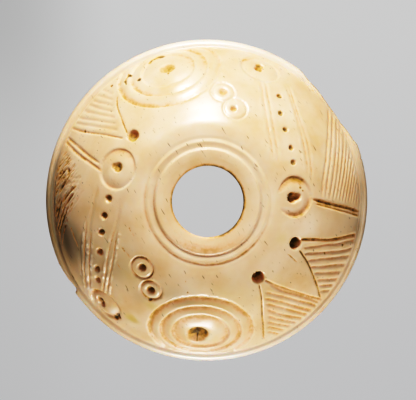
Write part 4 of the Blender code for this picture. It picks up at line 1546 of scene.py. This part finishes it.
@dataclass(frozen=True)
class PolishedBone:
    """Old bone, polished by hand: warm ivory, stain in the cuts with some painted shade, fine dark grain
    pores.

    Lengths are in millimetres. A value of four numbers maps a range to another one, and
    each cover gives how far a mark of the mesh tints the bone, and its colour.
    """

    # Polished bone shows the eye a soft gloss over a warm body that light enters.
    pale: str = "#EBCFAE"
    warm: str = "#E6C59F"
    tan: str = "#DDB78A"
    amber: str = "#E9B186"
    brown: str = "#BA8D38"
    dark: str = "#5C4714"
    pore: str = "#6F5738"
    mottle: float = 3.5
    mottle_stops: tuple[float, float, float] = (0.32, 0.52, 0.74)
    pore_cover: tuple[float, float, float, float] = (0.69, 0.78, 0.0, 0.7)
    # The yellowing and dark film covers also paint shade, and the near-white worn cover also paints
    # highlights.
    covers: tuple[tuple[Mark, float, str], ...] = (
        (Mark.YELLOWING, 0.75, "#CDAE55"), (Mark.DARK_FILM, 0.85, "#5A523C"), (Mark.WORN, 0.9, "#FAEFE0"),
    )
    dirt_spots: float = 0.7
    dirt_breaks: tuple[float, float, float, float] = (0.3, 0.7, 0.55, 1.25)
    dirt_stops: tuple[float, float, float] = (0.2, 0.65, 1.0)
    dirt_cover: tuple[float, float, float, float] = (0.03, 0.45, 0.0, 0.95)
    gloss: tuple[float, float, float, float] = (0.05, 0.5, 0.3, 0.6)
    grain_angle: float = -57.0
    grain_width: float = 0.11
    grain_length: float = 0.6
    grain_rise: float = 0.6
    grain_spacing: float = 2.2
    tooth: float = 0.25
    tooth_depth: float = 0.02
    tooth_strength: float = 0.35
    pore_depth: float = 0.03
    pore_strength: float = 0.4
    ior: float = 1.54
    glow: float = 0.45
    glow_depth: float = 0.6
    glow_colours: tuple[float, float, float] = (1.0, 0.62, 0.35)

    def pores(self, nodes: Nodes, place: bpy.types.NodeSocket) -> bpy.types.NodeSocket:
        """Short thin pores that run one way through the bone."""
        turned = nodes.add("Mapping", {"Rotation": (0.0, 0.0, math.radians(-self.grain_angle))},
                           {"Vector": place}, vector_type="POINT")
        stretch = (self.grain_width / self.grain_length, 1.0, self.grain_rise)
        stretched = nodes.add("Mapping", {"Scale": stretch}, {"Vector": turned.outputs["Vector"]},
                              vector_type="POINT")
        grain = nodes.add("TexNoise", {"Scale": per_metre(self.grain_width * self.grain_spacing),
                                       "Detail": 1.0, "Roughness": 0.5},
                          {"Vector": stretched.outputs["Vector"]})
        shown = nodes.add("MapRange", spread(*self.pore_cover), {"Value": grain.outputs["Fac"]},
                          interpolation_type="SMOOTHSTEP")
        return shown.outputs["Result"]

    def dirt(self, nodes: Nodes, place: bpy.types.NodeSocket) -> bpy.types.NodeSocket:
        """The stain in the cuts, with painted shade on the sides of the rings turned from the light, broken
        up into spots.
        """
        stain = nodes.add("Attribute", attribute_name=Mark.STAIN.name.lower())
        spots = nodes.add("TexNoise", {"Scale": per_metre(self.dirt_spots), "Detail": 4.0,
                                       "Roughness": 0.65}, {"Vector": place})
        breaks = nodes.add("MapRange", spread(*self.dirt_breaks), {"Value": spots.outputs["Fac"]},
                           interpolation_type="SMOOTHSTEP")
        broken = nodes.add("Math", links={0: stain.outputs["Fac"], 1: breaks.outputs["Result"]},
                           operation="MULTIPLY")
        return broken.outputs[0]

    def colour(self, nodes: Nodes, place: bpy.types.NodeSocket, pores: bpy.types.NodeSocket,
               dirt: bpy.types.NodeSocket) -> bpy.types.NodeSocket:
        """Colour of the bone with its pores, the covers of age and the stain in the cuts, which also carry
        painted shade and painted highlights.

        Args:
            nodes: the tree to add to.
            place: where on the object.
            pores: how far a pore shows.
            dirt: how stained a cut is, with painted shade on the side turned from the light.

        Returns:
            The colour's socket.
        """
        clouds = nodes.add("TexNoise", {"Scale": per_metre(self.mottle), "Detail": 3.0}, {"Vector": place})
        ivory = tuple(zip(self.mottle_stops, (self.pale, self.warm, self.tan)))
        body = nodes.add("ValToRGB", links={"Fac": clouds.outputs["Fac"]}, stops=ivory)
        pored = nodes.add("Mix", {7: linear(self.pore)}, {0: pores, 6: body.outputs["Color"]},
                          data_type="RGBA")
        colour = pored.outputs[2]
        for mark, most, tint in self.covers:
            amount = nodes.add("Attribute", attribute_name=mark.name.lower())
            cover = nodes.add("MapRange", spread(0.0, 1.0, 0.0, most), {"Value": amount.outputs["Fac"]},
                              interpolation_type="SMOOTHSTEP")
            covered = nodes.add("Mix", {7: linear(tint)}, {0: cover.outputs["Result"], 6: colour},
                                data_type="RGBA")
            colour = covered.outputs[2]
        # The stain in the cuts and its painted shade tint the bone amber to dark brown.
        soils = tuple(zip(self.dirt_stops, (self.amber, self.brown, self.dark)))
        soil = nodes.add("ValToRGB", links={"Fac": dirt}, stops=soils)
        cover = nodes.add("MapRange", spread(*self.dirt_cover), {"Value": dirt},
                          interpolation_type="SMOOTHSTEP")
        soiled = nodes.add("Mix", links={0: cover.outputs["Result"], 6: colour, 7: soil.outputs["Color"]},
                           data_type="RGBA")
        return soiled.outputs[2]

    def build(self) -> bpy.types.Material:
        """Make the material.

        Returns:
            The finished material.
        """
        nodes = Nodes("polished_bone")
        place = nodes.add("TexCoord").outputs["Object"]
        pores = self.pores(nodes, place)
        dirt = self.dirt(nodes, place)
        gloss = nodes.add("MapRange", spread(*self.gloss), {"Value": dirt}, interpolation_type="SMOOTHSTEP")
        tooth = nodes.add("TexNoise", {"Scale": per_metre(self.tooth), "Detail": 3.0, "Roughness": 0.6},
                          {"Vector": place})
        bump = nodes.add("Bump", {"Strength": self.tooth_strength, "Distance": self.tooth_depth * MM},
                         {"Height": tooth.outputs["Fac"]})
        pored = nodes.add("Bump", {"Strength": self.pore_strength, "Distance": self.pore_depth * MM},
                          {"Height": pores, "Normal": bump.outputs["Normal"]}, invert=True)
        shader = nodes.add(
            "BsdfPrincipled",
            {"IOR": self.ior, "Subsurface Weight": self.glow, "Subsurface Scale": self.glow_depth * MM,
             "Subsurface Radius": self.glow_colours},
            {"Base Color": self.colour(nodes, place, pores, dirt), "Roughness": gloss.outputs["Result"],
             "Normal": pored.outputs["Normal"]},
        )
        nodes.add("OutputMaterial", links={"Surface": shader.outputs["BSDF"]})
        return nodes.material


@dataclass(frozen=True)
class PaperBackdrop:
    """Pale grey studio paper that glows by itself, with painted shade: darker towards the viewer and in the
    far left corner.
    """

    near: str = "#959596"
    far: str = "#A0A0A0"
    corner: str = "#8C8C8C"
    reach: float = 34.0
    corner_reach: tuple[float, float] = (-24.0, -9.0)
    corner_depth: tuple[float, float] = (-1.0, 22.0)
    corner_least: float = 0.35

    def build(self) -> bpy.types.Material:
        """Make the material.

        Returns:
            The finished material.
        """
        nodes = Nodes("studio_paper")
        axes = nodes.add("SeparateXYZ", links={0: nodes.add("TexCoord").outputs["Object"]})
        left, right = (edge * MM for edge in self.corner_reach)
        front, back = (edge * MM for edge in self.corner_depth)
        reach = self.reach * MM
        ranges = (("Y", -reach, reach, 0.0, 1.0), ("X", left, right, 1.0, 0.0),
                  ("Y", front, back, self.corner_least, 1.0))
        depth, aside, behind = (
            nodes.add("MapRange", spread(*limits), {"Value": axes.outputs[axis]},
                      interpolation_type="SMOOTHSTEP").outputs["Result"]
            for axis, *limits in ranges
        )
        sheet = nodes.add("ValToRGB", links={"Fac": depth}, stops=((0.0, self.near), (1.0, self.far)))
        corner = nodes.add("Math", links={0: aside, 1: behind}, operation="MULTIPLY")
        colour = nodes.add("Mix", {7: linear(self.corner)},
                           {0: corner.outputs[0], 6: sheet.outputs["Color"]}, data_type="RGBA")
        # The paper glows by itself; its darker front and far left corner are painted shade.
        shader = nodes.add("Emission", {"Strength": 1.0}, {"Color": colour.outputs[2]})
        nodes.add("OutputMaterial", links={"Surface": shader.outputs["Emission"]})
        return nodes.material


@dataclass
class Whorl:
    """The carved whorl: turned section, carving, breaks and one fine mesh."""

    body: TurnedBody = field(default_factory=TurnedBody)
    finish: PolishedBone = field(default_factory=PolishedBone)

    def carving(self) -> list[Cut]:
        """Every cut on the dome."""
        groups = (LOWER_MOTIF, UPPER_MOTIF, *MIDDLE_MOTIFS, *SMALL_MOTIFS, LEFT_BAND, RIGHT_BAND,
                  *TRIANGLES, SPOKES, LOWER_SPOKE, DEEP_SPOKE, SIDE_STROKES, FAN, SOFT_LINES, SCRATCHES,
                  CRACKS, LOSSES, ScuffedField())
        return [cut for group in groups for cut in group.cuts()]

    def build(self) -> bpy.types.Object:
        """Make the mesh, its marks and its material, and hang it on the part.

        Returns:
            The finished object.
        """
        skin = Skin(WhorlSurface(self.body, self.carving(), RIM_LOSSES))
        skin.refine()
        mesh = bpy.data.meshes.new("whorl_surface")
        mesh.from_pydata((skin.places * MM).tolist(), [], skin.triangles.tolist())
        mesh.shade_smooth()
        for mark in Mark:
            values = mesh.attributes.new(mark.name.lower(), "FLOAT", "POINT")
            values.data.foreach_set("value", skin.marks[:, mark].astype(np.float32))
        obj = bpy.data.objects.new("whorl_surface", mesh)
        bpy.context.scene.collection.objects.link(obj)
        mesh.materials.append(self.finish.build())
        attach(obj, BODY)
        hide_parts(NODE)
        log.info("%s: %d triangles", obj.name, len(mesh.polygons))
        return obj


@dataclass(frozen=True)
class Softbox:
    """A rectangular studio light: where it stands, its size and its power."""

    name: str
    azimuth: float
    elevation: float
    distance: float
    width: float
    height: float
    power: float
    colour: str = "#FFFFFF"
    aim_height: float = 8.0

    def build(self) -> None:
        """Add the light, turned to the whorl's middle."""
        turn, lift = math.radians(self.azimuth), math.radians(self.elevation)
        target = Vector((0.0, 0.0, self.aim_height * MM))
        away = Vector((math.cos(lift) * math.cos(turn), math.cos(lift) * math.sin(turn), math.sin(lift)))
        lamp = bpy.data.lights.new(self.name, "AREA")
        lamp.shape = "RECTANGLE"
        lamp.size = self.width * MM
        lamp.size_y = self.height * MM
        lamp.energy = self.power
        lamp.color = linear(self.colour)[:3]
        obj = bpy.data.objects.new(self.name, lamp)
        obj.location = target + away * self.distance * MM
        obj.rotation_euler = (-away).to_track_quat("-Z", "Y").to_euler()
        bpy.context.scene.collection.objects.link(obj)
        log.info("%s: %.2f W", self.name, self.power)


@dataclass
class Studio:
    """Backdrop, soft lights, room tone and the camera over the whorl."""

    paper: PaperBackdrop = field(default_factory=PaperBackdrop)
    floor_size: float = 400.0
    floor_gap: float = 0.02
    room: str = "#6E6C69"
    room_strength: float = 0.02
    tilt_left: float = 1.0
    tilt_up: float = 1.84
    camera_distance: float = 800.0
    lens: float = 617.0
    sensor: float = 36.0
    aim: tuple[float, float] = (0.16, -0.01)
    tone_knee: float = 0.1
    tone_stops: tuple[float, ...] = (0.05, 0.1, 0.2, 0.3, 0.4, 0.55, 0.75)
    all_channels: ClassVar[int] = 3
    softboxes: tuple[Softbox, ...] = (
        Softbox("key_softbox", 91.0, 27.0, 320.0, 72.0, 66.0, 0.84),
        Softbox("key_low", 91.0, 8.0, 320.0, 110.0, 60.0, 0.1),
        Softbox("overhead_softbox", 85.0, 82.0, 400.0, 150.0, 150.0, 0.125),
        Softbox("front_strip", -92.0, 4.0, 320.0, 140.0, 40.0, 0.6),
        Softbox("front_fill", -36.0, 30.0, 320.0, 190.0, 170.0, 0.15),
        Softbox("right_low", -12.0, 12.0, 320.0, 110.0, 80.0, 0.07),
        Softbox("left_low", 170.0, 14.0, 320.0, 90.0, 70.0, 0.033),
        Softbox("left_back", 138.0, 26.0, 320.0, 150.0, 130.0, 0.06),
    )

    def floor(self) -> None:
        """Lay the paper under the whorl."""
        half = self.floor_size / 2 * MM
        mesh = bpy.data.meshes.new("paper")
        low = -self.floor_gap * MM
        corners = [(-half, -half, low), (half, -half, low), (half, half, low), (-half, half, low)]
        mesh.from_pydata(corners, [], [(0, 1, 2, 3)])
        mesh.materials.append(self.paper.build())
        obj = bpy.data.objects.new("paper", mesh)
        bpy.context.scene.collection.objects.link(obj)
        obj.visible_diffuse = False
        obj.visible_glossy = False
        log.info("paper: %.0f mm square", self.floor_size)

    def camera(self) -> None:
        """Set the camera almost straight above, as in the photograph."""
        towards = Vector((-math.tan(math.radians(self.tilt_left)), math.tan(math.radians(self.tilt_up)), 1.0))
        towards.normalize()
        lens = bpy.data.cameras.new("camera")
        lens.lens = self.lens
        lens.sensor_width = self.sensor
        obj = bpy.data.objects.new("camera", lens)
        obj.location = Vector((self.aim[0], self.aim[1], 0.0)) * MM + towards * self.camera_distance * MM
        right = Vector((0.0, 1.0, 0.0)).cross(towards).normalized()
        turned = Matrix((right, towards.cross(right), towards)).transposed()
        obj.rotation_euler = turned.to_euler()
        bpy.context.scene.collection.objects.link(obj)
        bpy.context.scene.camera = obj
        log.info("camera: %.0f mm lens", self.lens)

    def build(self) -> None:
        """Set up the whole studio."""
        self.floor()
        for softbox in self.softboxes:
            softbox.build()
        world = bpy.data.worlds.new("room")
        world.use_nodes = True
        background = world.node_tree.nodes["Background"]
        background.inputs["Color"].default_value = linear(self.room)
        background.inputs["Strength"].default_value = self.room_strength
        scene = bpy.context.scene
        scene.world = world
        scene.view_settings.view_transform = "Standard"
        self.tone()
        self.camera()

    def tone(self) -> None:
        """Give the picture a photographic curve: deep shadows, soft highlights."""
        view = bpy.context.scene.view_settings
        view.use_curve_mapping = True
        curve = view.curve_mapping.curves[self.all_channels]
        for light in self.tone_stops:
            bright = light ** 2 * (1.0 + self.tone_knee) / (light ** 2 + self.tone_knee)
            curve.points.new(light, bright)
        view.curve_mapping.update()


def main() -> None:
    """Build the whorl and the studio round it."""
    logging.basicConfig(level=logging.INFO, format="%(name)s: %(message)s")
    Whorl().build()
    Studio().build()


if __name__ == "__main__":
    main()
